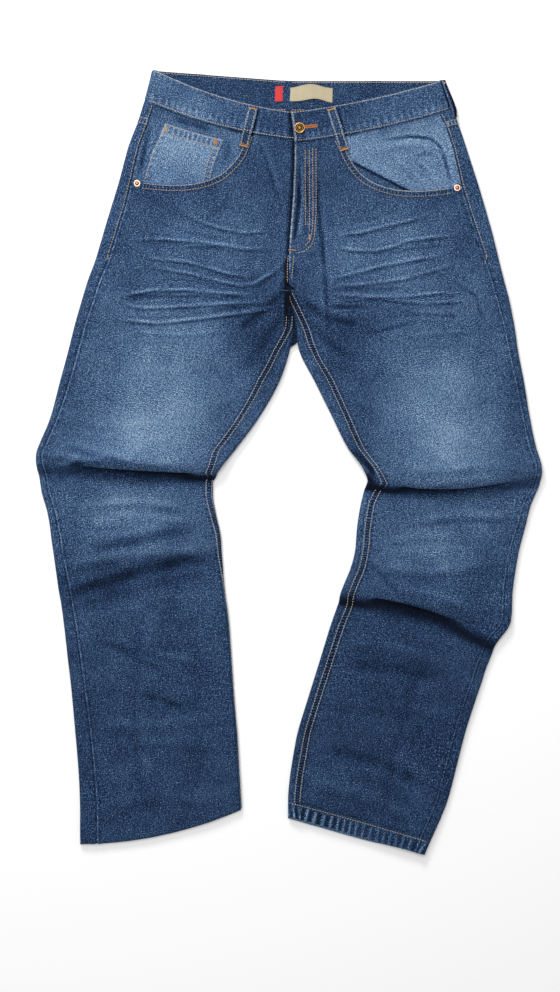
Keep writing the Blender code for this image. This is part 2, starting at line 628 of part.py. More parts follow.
def waistband(right, left, finish):
    """One strip from the button end, round the back, to the buttonhole end."""
    front = np.linspace(0, 1, 10)
    side = np.linspace(1, 2, 8)[1:]
    back = np.linspace(2, 3, 8)[1:]
    ring = np.concatenate([front, side, back])
    shares = np.linspace(0, 1, 4)
    halves = []
    for leg in (right, left):
        s = np.repeat(ring[None, :], len(shares), axis=0)
        share = np.repeat(shares[:, None], len(ring), axis=1)

        def point(a, b, leg=leg):
            return band_point(leg, a, np.clip(b, 0, 3))

        lean = normals(point, share, s, 0.01, 0.004) * leg.side
        face = point(share, s)
        face[:, -1, 0] = 0
        lean[:, -1] = (0, 0, -1)
        halves.append((face, face - lean * BAND_WALL))
    outer = np.concatenate([halves[0][0], halves[1][0][:, -2::-1]], axis=1)
    inner = np.concatenate([halves[0][1], halves[1][1][:, -2::-1]], axis=1)
    return build_shell("waistband", finish, outer, inner)


def ground_of(pieces):
    """Finds the height of the highest given piece over a place."""
    trees = []
    for piece in pieces:
        corners = [v.co / METRES for v in piece.data.vertices]
        trees.append(BVHTree.FromPolygons(corners, [p.vertices[:] for p in piece.data.polygons]))

    def height(x, y, reach=1.5):
        best = 0.0
        for dx, dy in ((0, 0), (reach, 0), (-reach, 0), (0, reach), (0, -reach)):
            for tree in trees:
                hit = tree.ray_cast(Vector((x + dx, y + dy, 100)), Vector((0, 0, -1)))[0]
                if hit is not None:
                    best = max(best, hit.z)
        return best

    return height


def front_loop(name, finish, ground, top, bottom):
    """Belt loop laid over the waistband, stitched flat at both ends."""
    top, bottom = np.array(top, float), np.array(bottom, float)
    run = bottom - top
    length = np.hypot(*run)
    run /= length
    aside = np.array([-run[1], run[0]])
    places = np.linspace(0, 1, 13)
    under = []
    for place in places:
        centre = top + run * length * place
        under.append(max(ground(*(centre + aside * w)) for w in (-5, 0, 5)))
    widest = [max(under[max(k - 2, 0) : k + 3]) for k in range(len(places))]
    settled = [np.mean(widest[max(k - 1, 0) : k + 2]) for k in range(len(places))]
    outer, inner = [], []
    for place, height in zip(places, settled):
        lift = height + SEAM_GAP + LOOP_BULGE * math.sin(math.pi * place) ** 2
        centre = top + run * length * place
        across = np.linspace(-LOOP_WIDTH / 2, LOOP_WIDTH / 2, 5)
        base = [(*(centre + aside * w), lift) for w in across]
        inner.append(base)
        outer.append([(x, y, z + LOOP_WALL) for x, y, z in base])
    return build_shell(name, finish, np.array(outer), np.array(inner))


def side_loop(leg, name, finish):
    """Belt loop on the rounded left corner, seen on its edge from above."""
    places = np.linspace(-1, 1, 11)
    ring = np.array(SIDE_LOOP_PLACES)
    s = np.repeat(ring[None, :], len(places), axis=0)
    share = np.repeat(places[:, None], len(ring), axis=1)

    def point(a, b):
        upper = band_point(leg, np.clip(a, 0, 1) * SIDE_LOOP_TOP, b)
        lower = leg.at(np.clip(-a, 0, 1) * SIDE_LOOP_FOOT, b)
        return np.where((a > 0)[..., None], upper, lower)

    face = point(share, s)
    lean = normals(point, share, s, 0.05, 0.004) * leg.side
    bow = LOOP_BULGE * np.cos(share * math.pi / 2)[..., None] ** 2
    inner = face + lean * (1.7 * SEAM_GAP + bow)
    return build_shell(name, finish, inner + lean * LOOP_WALL, inner)


def turned(name, finish, profile, x, y, base, sides=20):
    """A turned piece from (radius, height) pairs, closed at both ends."""
    points = [(x, y, base + profile[0][1])]
    for radius, height in profile[1:-1]:
        for k in range(sides):
            angle = 2 * math.pi * k / sides
            points.append((x + radius * math.cos(angle), y + radius * math.sin(angle), base + height))
    points.append((x, y, base + profile[-1][1]))
    faces = []
    rings = len(profile) - 2
    for k in range(sides):
        after = (k + 1) % sides
        faces.append([0, 1 + after, 1 + k])
        for r in range(rings - 1):
            a, b = 1 + r * sides, 1 + (r + 1) * sides
            faces.append([a + k, a + after, b + after, b + k])
        final = 1 + (rings - 1) * sides
        faces.append([final + k, final + after, len(points) - 1])
    return add_object(name, finish, points, faces)


def flat_patch(name, finish, x, y, length, depth, base, wave):
    """A woven label or tab, gently waved, on the inside of the back waistband."""
    across = np.linspace(-length / 2, length / 2, 9)
    down = np.linspace(-depth / 2, depth / 2, 3)
    low = np.zeros((len(down), len(across), 3))
    for i, dy in enumerate(down):
        for j, dx in enumerate(across):
            rise = wave * (1 - math.cos(2 * math.pi * (dx / length + 0.5))) / 2
            low[i, j] = (x + dx, y + dy, base + rise)
    high = low + np.array([0, 0, LABEL_WALL])
    return build_shell(name, finish, high, low)


def back_pocket(name, finish, side):
    """Plain patch pocket with a pointed foot, lying under the back panel."""
    middle = side * (POCKET_INNER + POCKET_OUTER) / 2
    half = (POCKET_OUTER - POCKET_INNER) / 2
    outline = [
        (middle - half, POCKET_TOP),
        (middle + half, POCKET_TOP),
        (middle + half - POCKET_TAPER, POCKET_SIDE),
        (middle, POCKET_POINT),
        (middle - half + POCKET_TAPER, POCKET_SIDE),
    ]
    points = [(x, y, 0) for x, y in outline] + [(x, y, DENIM) for x, y in outline]
    count = len(outline)
    faces = [list(range(count)), list(range(2 * count - 1, count - 1, -1))]
    faces += [[k, k + count, (k + 1) % count + count, (k + 1) % count] for k in range(count)]
    return add_object(name, finish, points, faces)


def main():
    for old in list(bpy.data.objects):
        bpy.data.objects.remove(old)

    denim = material("denim", (0.10, 0.17, 0.28), 0.9)
    light_denim = material("light_denim", (0.17, 0.25, 0.36), 0.9)
    brass = material("brass", (0.42, 0.30, 0.15), 0.4, 1.0)
    copper = material("copper", (0.55, 0.32, 0.20), 0.4, 1.0)
    cream = material("cream_tape", (0.80, 0.76, 0.66), 0.85)
    red = material("red_tape", (0.55, 0.06, 0.05), 0.85)

    right = Leg(RIGHT_SECTIONS, -1, RIGHT_BAND, FOLD_START_RIGHT, tucked=True)
    left = Leg(LEFT_SECTIONS, 1, LEFT_BAND, FOLD_START_LEFT, tucked=False)

    front_right = front_panel(right, "front_right", denim, MOUTH_RIGHT)
    front_left = front_panel(left, "front_left", denim, MOUTH_LEFT)
    backs = []
    for leg, word in ((right, "right"), (left, "left")):
        half = SEAM_GAP / 2
        backs.append(back_ring(leg, f"yoke_{word}", denim, SEAM_GAP, leg.yoke_t - half))
        end = leg.length - 1 if leg.tucked else leg.length
        backs.append(back_ring(leg, f"back_{word}", denim, leg.yoke_t + half, end))
    facings = [
        pocket_facing(right, "pocket_facing_right", light_denim, MOUTH_RIGHT, FACING_DROP_RIGHT),
        pocket_facing(left, "pocket_facing_left", light_denim, MOUTH_LEFT, FACING_DROP_LEFT),
    ]
    coin_pocket(right, light_denim)
    band = waistband(right, left, denim)

    ground = ground_of([front_right, front_left, band] + facings + backs)
    front_loop("belt_loop_front_right", denim, ground, LOOP_RIGHT_TOP, LOOP_RIGHT_FOOT)
    front_loop("belt_loop_front_left", denim, ground, LOOP_LEFT_TOP, LOOP_LEFT_FOOT)
    side_loop(left, "belt_loop_side_left", denim)

    radius = BUTTON_DIAMETER / 2
    profile = [
        (0, 0), (radius * 0.55, 0), (radius * 0.6, 0.9), (radius * 0.95, 1.1), (radius, 1.8),
        (radius * 0.93, 2.6), (radius * 0.78, 2.8), (radius * 0.62, 2.2), (radius * 0.3, 2.1), (0, 2.3),
    ]
    seat = max(ground(BUTTON_X + dx, BUTTON_Y + dy) for dx in (-4, 0, 4) for dy in (-4, 0, 4))
    turned("button", brass, profile, BUTTON_X, BUTTON_Y, seat + SEAM_GAP)
    radius = RIVET_DIAMETER / 2
    profile = [
        (0, 0), (radius * 0.96, 0), (radius, 0.4), (radius * 0.8, 1.1),
        (radius * 0.45, 1.3), (radius * 0.3, 1.9), (0, 2.1),
    ]
    for name, (x, y) in (("rivet_right", RIVET_RIGHT), ("rivet_left", RIVET_LEFT)):
        seat = max(ground(x + dx, y + dy) for dx in (-4, 0, 4) for dy in (-4, 0, 4))
        turned(name, copper, profile, x, y, seat + SEAM_GAP, 16)

    resting = BAND_WALL + SEAM_GAP
    flat_patch("size_label", cream, LABEL_X, LABEL_Y, LABEL_LENGTH, LABEL_DEPTH, resting, LABEL_WAVE)
    flat_patch("side_tab", red, TAB_X, TAB_Y, TAB_LENGTH, TAB_DEPTH, resting, TAB_WAVE)
    back_pocket("back_pocket_right", denim, -1)
    back_pocket("back_pocket_left", denim, 1)


main()
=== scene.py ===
"""Five-pocket denim jeans laid flat, front up: cloth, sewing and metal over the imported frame."""

import math
from collections import namedtuple

import bpy
import numpy as np
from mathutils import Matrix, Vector
from mathutils.bvhtree import BVHTree


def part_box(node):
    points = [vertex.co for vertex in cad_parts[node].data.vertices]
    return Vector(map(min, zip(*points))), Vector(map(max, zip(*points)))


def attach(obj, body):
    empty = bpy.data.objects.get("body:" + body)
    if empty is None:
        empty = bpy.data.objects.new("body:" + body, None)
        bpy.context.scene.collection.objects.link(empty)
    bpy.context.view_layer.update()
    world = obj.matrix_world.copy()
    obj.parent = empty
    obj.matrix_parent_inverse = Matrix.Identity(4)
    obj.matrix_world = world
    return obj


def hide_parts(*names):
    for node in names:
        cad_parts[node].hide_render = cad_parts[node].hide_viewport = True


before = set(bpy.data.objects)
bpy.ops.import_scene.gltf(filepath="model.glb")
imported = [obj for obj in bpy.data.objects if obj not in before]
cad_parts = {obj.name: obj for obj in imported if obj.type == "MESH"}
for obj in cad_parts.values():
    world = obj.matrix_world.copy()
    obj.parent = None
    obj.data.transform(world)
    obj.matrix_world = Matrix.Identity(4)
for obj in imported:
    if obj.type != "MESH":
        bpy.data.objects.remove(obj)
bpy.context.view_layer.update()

# Camera, floor and light. The camera looks straight down from above the knees. The
# floor is plain white board. A wide soft box hangs over the jeans, a smaller lamp
# stands beyond the waist, and pale walls fill in.

CAMERA_HEIGHT = 2.6
CAMERA_X, CAMERA_Y = -0.011, -0.046
CLOTH_HEIGHT = 0.006
VIEW_HEIGHT = 1.3587
FILM_HEIGHT = 36.0

lens = bpy.data.cameras.new("camera")
lens.sensor_fit = "VERTICAL"
lens.sensor_height = FILM_HEIGHT
lens.lens = FILM_HEIGHT * (CAMERA_HEIGHT - CLOTH_HEIGHT) / VIEW_HEIGHT
camera = bpy.data.objects.new("camera", lens)
camera.location = (CAMERA_X, CAMERA_Y, CAMERA_HEIGHT)
bpy.context.scene.collection.objects.link(camera)
bpy.context.scene.camera = camera

board = bpy.data.meshes.new("floor")
half_board = 4.0
corners = [(-1, -1), (1, -1), (1, 1), (-1, 1)]
board.from_pydata([(half_board * x, half_board * y, -0.0006) for x, y in corners], [], [(0, 1, 2, 3)])
floor = bpy.data.objects.new("floor", board)
bpy.context.scene.collection.objects.link(floor)
floor_paint = bpy.data.materials.new("white_board")
floor_paint.use_nodes = True
floor_shader = floor_paint.node_tree.nodes["Principled BSDF"]
floor_shader.inputs["Base Color"].default_value = (0.89, 0.89, 0.89, 1)
floor_shader.inputs["Roughness"].default_value = 0.95
floor_shader.inputs["Specular IOR Level"].default_value = 0.0
board.materials.append(floor_paint)


def soft_lamp(name, place, size, power):
    """A square lamp aimed at the middle of the jeans."""
    light = bpy.data.lights.new(name, "AREA")
    light.shape = "SQUARE"
    light.size = size
    light.energy = power
    lamp = bpy.data.objects.new(name, light)
    lamp.location = place
    aim = Vector((0, 0, 0)) - Vector(place)
    lamp.rotation_euler = aim.to_track_quat("-Z", "Y").to_euler()
    bpy.context.scene.collection.objects.link(lamp)
    return lamp


soft_lamp("soft_box", (-0.4, 0.7, 3.0), 2.6, 80.5)
soft_lamp("key_lamp", (-1.0, 2.8, 1.6), 0.9, 79)
walls = bpy.data.worlds.new("white_walls")
walls.use_nodes = True
walls.node_tree.nodes["Background"].inputs["Color"].default_value = (1, 1, 1, 1)
walls.node_tree.nodes["Background"].inputs["Strength"].default_value = 0.30
bpy.context.scene.world = walls
bpy.context.scene.view_settings.view_transform = "Standard"
bpy.context.scene.view_settings.look = "None"

# Front leg panels. Each is one cut of mid-blue denim from the waist to the hem, with
# the pocket mouth cut out of it. The inseam is felled, the outseam is sewn inside
# out, and the left panel laps over the right one at the fly. Lengths are millimetres.

METRES = 0.001
DENIM = 1.2
HEM_WALL = 2.2
SEAM_GAP = 0.3
EDGE_ROLL = 5.0
MOUTH_RIGHT, MOUTH_LEFT = 133.0, 140.0
MOUTH_ROUNDNESS = 3.4
FOLD_FADE_IN, FOLD_FADE_OUT, FOLD_END = 0.17, 0.26, 0.88
ROLL_CLEARANCE = 0.4
CREASE_END = 15.0
CREASE_SHARE = 0.5
TUCK_CURL, TUCK_DEPTH = 3.0, 30.0

# One row across a leg from its inner to its outer edge, as in the solids
Section = namedtuple(
    "Section",
    "name x_out y_out x_in y_in bow h_out h_mid h_in roll seam_out seam_in rise lift over",
)

RIGHT_SECTIONS = [
    Section("waist seam", -197, 495, 17, 442, -9, 8, 7, 5.2, 0, 17, 0, 39, 0, 0),
    Section("yoke end", -207, 464, 17, 414, -8, 8.5, 8, 5.6, 0, 17, 0, 14, 0, 0),
    Section("pocket middle", -218, 435, 16, 394, -6, 9, 8.5, 6, 0, 17, 0, 8, 1.5, 0),
    Section("pocket rivet", -231, 387, 15, 369, -4, 9.5, 9, 6, 0, 19, 0, 0, 1.5, 0),
    Section("hip", -241, 354, 13, 339, -2, 9.5, 9.5, 6, 0, 21, 0, 0, 1.5, 0),
    Section("fly end", -251, 321, 9, 308, 0, 9.5, 9.5, 6, 0, 21, 0, 0, 1.5, 0),
    Section("seat", -264, 277, 4, 275, 0, 9.5, 9.5, 6, 0, 20, 0, 0, 1.5, 0),
    Section("above crotch", -275, 247, 0, 246, 0, 9.5, 9.5, 7, 0, 18, 0, 0, 1.5, 0),
    Section("crotch", -279, 234, 0.5, 235, 0, 9.5, 9.5, 8, 3, 18, 6, 0, 1.5, 0),
    Section("upper thigh", -293, 186, 7.5, 184, 0, 8.5, 9, 7, 4.5, 16, 14, 0, 0, 0),
    Section("thigh top", -301, 154, 2.5, 154, 0, 8, 9.5, 7, 5, 15, 25, 0, 0, 0),
    Section("thigh", -312, 113, -11, 113, 0, 8, 10, 7, 5, 15, 33, 0, 0, 0),
    Section("thigh low", -327, 58, -42, 58, -2, 8, 12, 8, 5, 11, 33, 0, 0, 0),
    Section("above knee", -340, 27, -75, 14, -3, 9, 17, 10, 5, 11, 32, 0, 0, 0),
    Section("knee crest", -345, 12, -90, -5, -4, 12, 23, 14, 5, 11, 24, 0, 0, 0),
    Section("knee fold", -345.5, 2, -97, -15, -4, 10, 17, 11, 5, 11, 20, 0, 0, 0),
    Section("knee tuck", -345, -3, -98, -18.5, -2, 8.8, 11.5, 9, 5, 11, 16, 0, 0, 8),
    Section("knee hollow", -344.5, -6, -99, -20.5, -2, 8, 8.3, 7.8, 5, 11, 14, 0, 0, 15),
    Section("knee valley", -344, -9, -100, -22.5, -2, 7.5, 5.8, 7, 5, 11, 13, 0, 0, 14),
    Section("shin top", -341, -20, -103, -28, -2, 7, 6, 6.5, 5, 11, 12, 0, 0, 0),
    Section("shin", -338, -40, -103, -45, 0, 7, 7, 6.5, 5, 11, 12, 0, 0, 0),
    Section("shin middle", -330, -68, -99, -68, 0, 7, 8, 6.5, 5, 12, 11, 0, 0, 0),
    Section("calf ridge", -321, -128, -93, -101, 0, 8, 13, 9, 5, 14, 9, 0, 0, 0),
    Section("calf slope", -318, -150, -92, -116, 0, 7.5, 9.5, 8, 5, 15, 8, 0, 0, 0),
    Section("calf valley", -315, -172, -91, -130, 0, 6.5, 5.5, 6, 5, 16, 7, 0, 0, 0),
    Section("below valley", -311, -194, -89, -158, 0, 7, 8, 6.5, 5, 16, 4, 0, 0, 0),
    Section("calf", -305, -243, -82, -218, 0, 7, 9, 7, 5, 18, 2, 0, 0, 0),
    Section("ankle trough", -297, -312, -74, -328, 0, 7, 7, 5.8, 5, 20, 2, 0, 0, 0),
    Section("ankle", -292, -366, -70, -377, 0, 7, 8.5, 6.5, 5, 22, 2, 0, 0, 0),
    Section("low leg", -287, -428, -67, -428, -3, 7, 8.5, 6.5, 5, 23, 2, 0, 0, 0),
    Section("near end", -285, -480, -66, -446, -9, 7, 8, 6.8, 5, 24, 2, 0, 1.5, 0),
    Section("turned end", -285, -521, -64, -474, -11, 6.5, 6.5, 6.5, 5, 24, 2, 0, 1.5, 0),
]

LEFT_SECTIONS = [
    Section("waist seam", 226.7, 484, 9, 438, -5, 8, 7.5, 8.3, 0, 23, 0, 43, 0, 0),
    Section("yoke end", 234, 462, 9, 414, -6, 8.5, 8, 8.4, 0, 20, 0, 14, 0, 0),
    Section("pocket middle", 244, 432, 8, 394, -7, 9, 8.5, 8.4, 0, 20, 0, 8, 1.5, 0),
    Section("pocket rivet", 260, 382, 7, 367, -8, 9.5, 9, 8.4, 0, 25, 0, 0, 1.5, 0),
    Section("hip", 268.5, 354, 5, 339, -4, 9.5, 9.5, 8.4, 0, 25, 0, 0, 1.5, 0),
    Section("fly end", 278, 321, 2.5, 308, 0, 9.5, 9.5, 8.4, 0, 24, 0, 0, 1.5, 0),
    Section("seat", 289, 277, 1.5, 275, 0, 9.5, 9.5, 8.4, 0, 20, 0, 0, 1.5, 0),
    Section("above crotch", 296.5, 247, 1, 246, 0, 9.5, 9.5, 8.2, 0, 18, 0, 0, 1.5, 0),
    Section("crotch", 300, 234, 1.9, 235, 0, 9.5, 9.5, 8, 3, 18, 6, 0, 1.5, 0),
    Section("upper thigh", 310.5, 186, 11.5, 184, 0, 8.5, 9, 7, 4.5, 15, 20, 0, 0, 0),
    Section("thigh top", 315, 154, 15, 154, 0, 8, 9.5, 7, 5, 13, 27, 0, 0, 0),
    Section("thigh", 323, 113, 35.6, 113, 0, 8, 10, 7, 5, 12, 29, 0, 0, 0),
    Section("thigh low", 330, 69, 57.5, 69, -3, 8, 12, 8, 5, 10, 28, 0, 0, 0),
    Section("above knee", 340, 20, 82, 20, -8, 9, 17, 10, 5, 10, 27, 0, 0, 0),
    Section("knee crest", 347, -3, 103, -9, -15, 12, 22, 13, 5, 10, 30, 0, 0, 0),
    Section("knee fold", 348, -14, 109, -25, -17, 10, 16, 10, 5, 10, 31, 0, 0, 0),
    Section("knee tuck", 347.5, -18.5, 108, -29, -15, 8.8, 11, 8.8, 5, 10, 29, 0, 0, 8),
    Section("knee hollow", 347, -21.5, 107, -31.5, -14, 8, 8.2, 7.8, 5, 10, 28, 0, 0, 15),
    Section("knee valley", 346, -24.5, 106, -34, -13, 7.5, 5.8, 7, 5, 10, 26, 0, 0, 14),
    Section("shin top", 343, -35.5, 103.5, -41, -10, 7, 6, 6.5, 5, 10, 24, 0, 0, 0),
    Section("shin", 334, -55.5, 100, -55.5, -4, 7, 7, 6.5, 5, 11, 21, 0, 0, 0),
    Section("shin middle", 326, -85.5, 95, -85.5, 0, 7, 8, 6.5, 5, 12, 21, 0, 0, 0),
    Section("calf", 316.5, -122.5, 92, -120, 0, 7.5, 9, 7, 5, 14, 21, 0, 0, 0),
    Section("above calf fold", 308, -175, 85, -147, -1, 8, 11, 8, 5, 14, 22, 0, 0, 0),
    Section("calf crest", 305, -219, 77, -166, 1, 9, 18, 10, 5, 14, 22, 0, 0, 0),
    Section("calf fold", 290, -242, 72, -179, 11, 8, 12.5, 8.5, 5, 14, 22, 0, 0, 0),
    Section("calf tuck", 287, -246, 71, -182.5, 11, 7.8, 9.3, 7.9, 5, 14, 22, 0, 0, 6),
    Section("calf hollow", 285, -249.5, 70.5, -185.5, 11, 7.4, 7.2, 7.3, 5, 14, 22, 0, 0, 11),
    Section("calf valley", 283, -253, 70, -189, 11, 7, 5.6, 6.8, 5, 14, 22, 0, 0, 10),
    Section("below fold", 279, -264, 67, -199, 10, 7, 6.5, 6.5, 5, 14, 22, 0, 0, 0),
    Section("lower calf", 272.5, -280, 59.5, -220, 8, 7, 8, 6.5, 5, 14, 21, 0, 0, 0),
    Section("ankle trough", 266, -300, 42.5, -275, 2, 6.5, 5.8, 5.8, 5, 14, 20, 0, 0, 0),
    Section("ankle", 256, -329, 27.5, -323, 0, 7, 8, 6.5, 5, 15, 20, 0, 0, 0),
    Section("low leg", 240, -381, 14, -367, 3, 7, 8.5, 6.5, 5, 15, 20, 0, 0, 0),
    Section("low trough", 221, -456, 9, -391, 11, 6.5, 5.8, 5.8, 5, 15, 20, 0, 0, 0),
    Section("above hem", 210, -486, 3, -428, 7, 7, 7.5, 6.8, 5, 15, 20, 0, 0, 0),
    Section("hem stitching", 195, -519, 0, -464, 1, 8, 7.5, 7.6, 5, 15, 20, 0, 0, 0),
    Section("hem", 187, -537.5, 0, -484, 0, 8, 7.5, 7.6, 5, 15, 20, 0, 0, 0),
]

# Largest raised creases, from one end to the other, with width and height
Crease = namedtuple("Crease", "x0 y0 x1 y1 width height")
CREASES = [
    Crease(-149, 345, -32, 314, 9, 2.0),
    Crease(-208, 306, -30, 290, 10, 2.4),
    Crease(-205, 270, -10, 256, 10, 2.2),
    Crease(-245, 226, -55, 229, 10, 2.2),
    Crease(-236, 199, -20, 213, 9, 2.4),
    Crease(68, 312, 193, 338, 9, 2.0),
    Crease(66, 290, 236, 311, 10, 2.2),
    Crease(54, 250, 214, 282, 10, 2.4),
    Crease(54, 237, 245, 270, 9, 2.2),
    Crease(54, 222, 255, 222, 10, 2.2),
    Crease(44, 355, 58, 190, 8, 2.0),
]

# How the waistband reaches up from the waist seam
BandStep = namedtuple("BandStep", "place across up")
RIGHT_BAND = [
    BandStep("centre front", -3, 38),
    BandStep("front", 5, 40),
    BandStep("side", 11, 43),
    BandStep("centre back", 0, 42),
]
LEFT_BAND = [
    BandStep("centre front", -5, 42),
    BandStep("front", -7, 42),
    BandStep("side", -13, 40),
    BandStep("centre back", 0, 42),
]


def bell(value, width):
    """1 where the value is nothing, fading to both sides over the width."""
    return np.exp(-((value / width) ** 2))


def smooth(value):
    """Rises from 0 to 1 with level ends."""
    value = np.clip(value, 0, 1)
    return value * value * (3 - 2 * value)


def limited(tangent, one_side, other_side):
    """Keeps a tangent under three times the lesser slope beside it."""
    least = 3 * np.minimum(abs(one_side), abs(other_side))
    return np.clip(tangent, -least, least)


def crease_height(x, y):
    """Adds up the largest creases over a place."""
    total = np.zeros_like(x)
    for crease in CREASES:
        run = np.array([crease.x1 - crease.x0, crease.y1 - crease.y0], float)
        length = np.hypot(*run)
        run /= length
        along = (x - crease.x0) * run[0] + (y - crease.y0) * run[1]
        aside = (y - crease.y0) * run[0] - (x - crease.x0) * run[1]
        near = smooth((along + CREASE_END) / (2 * CREASE_END))
        far = smooth((length - along + CREASE_END) / (2 * CREASE_END))
        total += crease.height * near * far * bell(aside, crease.width)
    return total


class Leg:
    """The outer face of one leg and its half of the hips, as in the solids.

    t runs down the leg in millimetres. s runs round it: 0 to 1 over the top from
    the inner to the outer edge, 1 to 2 round the outer edge, 2 to 3 back along the
    floor, and 3 to 4 round the inner edge.
    """

    def __init__(self, sections, side, band, fold_start, tucked):
        self.sections = sections
        self.fold_start = fold_start
        self.side = side
        self.band = band
        self.tucked = tucked
        middles = [self.section_points(row, np.array([0.5]))[0] for row in sections]
        steps = [math.dist(a, b) for a, b in zip(middles, middles[1:])]
        self.knots = np.concatenate([[0], np.cumsum(steps)])
        self.length = self.knots[-1]
        names = [row.name for row in sections]
        self.yoke_t = self.knots[names.index("yoke end")]
        self.rivet_t = self.knots[names.index("pocket rivet")]
        self.crotch_t = self.knots[names.index("crotch")]
        self.hem_t = self.knots[names.index("hem stitching")] if "hem stitching" in names else None

    def column(self, name, t):
        values = [getattr(row, name) for row in self.sections]
        return np.interp(t, self.knots, values)

    def wall(self, t):
        if self.hem_t is None:
            return np.full_like(t, DENIM)
        return DENIM + (HEM_WALL - DENIM) * smooth((t - self.hem_t + 3) / 3)

    def section_points(self, row, s):
        """Points of one section for ring places s."""
        s = np.where(s > 3, s - 4, s)
        inner = np.array([row.x_in, row.y_in], float)
        outer = np.array([row.x_out, row.y_out], float)
        width = np.hypot(*(outer - inner))
        across = (outer - inner) / width
        thinnest = HEM_WALL if row.name.startswith("hem") else DENIM
        half_out = (row.h_out - row.lift) / 2
        half_in = (row.h_in - row.lift) / 2
        round_out = min(EDGE_ROLL, half_out**2 / (thinnest + ROLL_CLEARANCE))
        round_in = min(row.roll, half_in**2 / (thinnest + ROLL_CLEARANCE))

        u = np.clip(s, 0, 1)
        reach = round_in + u * (width - round_in - round_out)
        hump = 4 * u * (1 - u)
        folded = smooth((u - self.fold_start) / FOLD_FADE_IN) * smooth((FOLD_END - u) / FOLD_FADE_OUT)
        x = inner[0] + across[0] * reach
        y = inner[1] + across[1] * reach + row.bow * hump + row.over * folded
        first = row.h_in + (row.h_mid - row.h_in) * smooth(2 * u)
        second = row.h_mid + (row.h_out - row.h_mid) * smooth(2 * u - 1)
        top = np.stack([x, y, np.where(u < 0.5, first, second)], axis=-1)

        turn = (np.clip(s, 1, 2) - 1) * math.pi
        plan = outer - across * round_out + (across * round_out) * np.sin(turn)[..., None]
        height = row.lift + half_out * (1 + np.cos(turn))
        outer_edge = np.concatenate([plan, height[..., None]], axis=-1)

        turn = -np.clip(s, -1, 0) * math.pi
        plan = inner + across * round_in - (across * round_in) * np.sin(turn)[..., None]
        height = row.lift + half_in * (1 + np.cos(turn))
        inner_edge = np.concatenate([plan, height[..., None]], axis=-1)

        back = np.clip(s, 2, 3) - 2
        start = outer - across * round_out
        if row.roll:
            end = inner + across * round_in
            bend = row.bow
        else:
            end = np.array([self.side * SEAM_GAP / 2, row.y_in + row.rise])
            bend = 0.0
        plan = start + (end - start) * back[..., None]
        plan[..., 1] += bend * 4 * back * (1 - back)
        height = np.full(s.shape, float(row.lift))
        under = np.concatenate([plan, height[..., None]], axis=-1)

        points = np.where((s >= 0)[..., None], top, inner_edge)
        points = np.where((s > 1)[..., None], outer_edge, points)
        return np.where((s > 2)[..., None], under, points)

    def at(self, t, s):
        """Points for arrays t and s: smooth curves through the sections."""
        t, s = np.broadcast_arrays(np.asarray(t, float), np.asarray(s, float))
        shape = t.shape
        t, s = t.ravel(), s.ravel()
        out = np.zeros((t.size, 3))
        inside = np.clip(t, 0, self.length)
        spans = np.clip(np.searchsorted(self.knots, inside, side="right") - 1, 0, len(self.knots) - 2)
        for span in np.unique(spans):
            here = spans == span
            out[here] = self.blend(span, inside[here], s[here])
        ring = np.where(s > 3, s - 4, s)
        on_top = (ring > 0) & (ring < 1)
        edge = smooth(np.minimum(ring, 1 - ring) * 8)
        out[:, 2] += np.where(on_top, CREASE_SHARE * crease_height(out[:, 0], out[:, 1]) * edge, 0)
        past = t - self.length
        if self.tucked and (past > 0).any():
            out = self.tuck(out, past)
        return out.reshape(shape + (3,))

    def blend(self, span, t, s):
        """Hermite blend between two sections that never overshoots them."""
        last = len(self.sections) - 1
        rows = [min(max(span + k, 0), last) for k in (-1, 0, 1, 2)]
        knots = [self.knots[k] for k in rows]
        points = [self.section_points(self.sections[k], s) for k in rows]
        step = knots[2] - knots[1]
        slope = (points[2] - points[1]) / step
        before = slope if rows[0] == rows[1] else (points[1] - points[0]) / (knots[1] - knots[0])
        after = slope if rows[3] == rows[2] else (points[3] - points[2]) / (knots[3] - knots[2])
        near = max(knots[1] - knots[0], step)
        far = max(knots[3] - knots[2], step)
        start = (before * step + slope * near) / (step + near)
        end = (slope * far + after * step) / (step + far)
        start = np.where(before * slope > 0, limited(start, before, slope), 0)
        end = np.where(after * slope > 0, limited(end, after, slope), 0)
        f = ((t - knots[1]) / step)[:, None]
        return (
            (2 * f**3 - 3 * f**2 + 1) * points[1]
            + (f**3 - 2 * f**2 + f) * step * start
            + (3 * f**2 - 2 * f**3) * points[2]
            + (f**3 - f**2) * step * end
        )

    def tuck(self, points, past):
        """Carries the cloth round the end of the leg and back beneath it."""
        last, previous = self.sections[-1], self.sections[-2]
        down = np.array(
            [
                (last.x_out + last.x_in - previous.x_out - previous.x_in) / 2,
                (last.y_out + last.y_in - previous.y_out - previous.y_in) / 2,
            ]
        )
        down /= np.hypot(*down)
        half = points[:, 2] / 2
        curl = math.pi * TUCK_CURL
        turn = np.clip(past / curl, 0, 1) * math.pi
        back = np.clip(past - curl, 0, None)
        reach = TUCK_CURL * np.sin(turn) - back
        moved = points.copy()
        moved[:, :2] += down * reach[:, None]
        moved[:, 2] = half * (1 + np.cos(turn))
        return np.where((past > 0)[:, None], moved, points)

    def run(self, t, fine):
        """Length of cloth gone by at each of the ring places."""
        points = self.at(np.full(fine.shape, t), fine)
        steps = np.linalg.norm(np.diff(points, axis=0), axis=1)
        return np.concatenate([[0], np.cumsum(steps)])

    def from_outer(self, t, distance):
        """Ring place at a distance in from the outer edge, over the top."""
        fine = np.linspace(1.5, 0, 241)
        return np.interp(distance, self.run(min(t, self.length), fine), fine)

    def from_inner(self, t, distance):
        """Ring place at a distance in from the inner edge, over the top."""
        first = 0 if t < self.crotch_t - 0.01 else -0.5
        fine = np.linspace(first, 0.5, 161)
        return np.interp(distance, self.run(min(t, self.length), fine), fine)

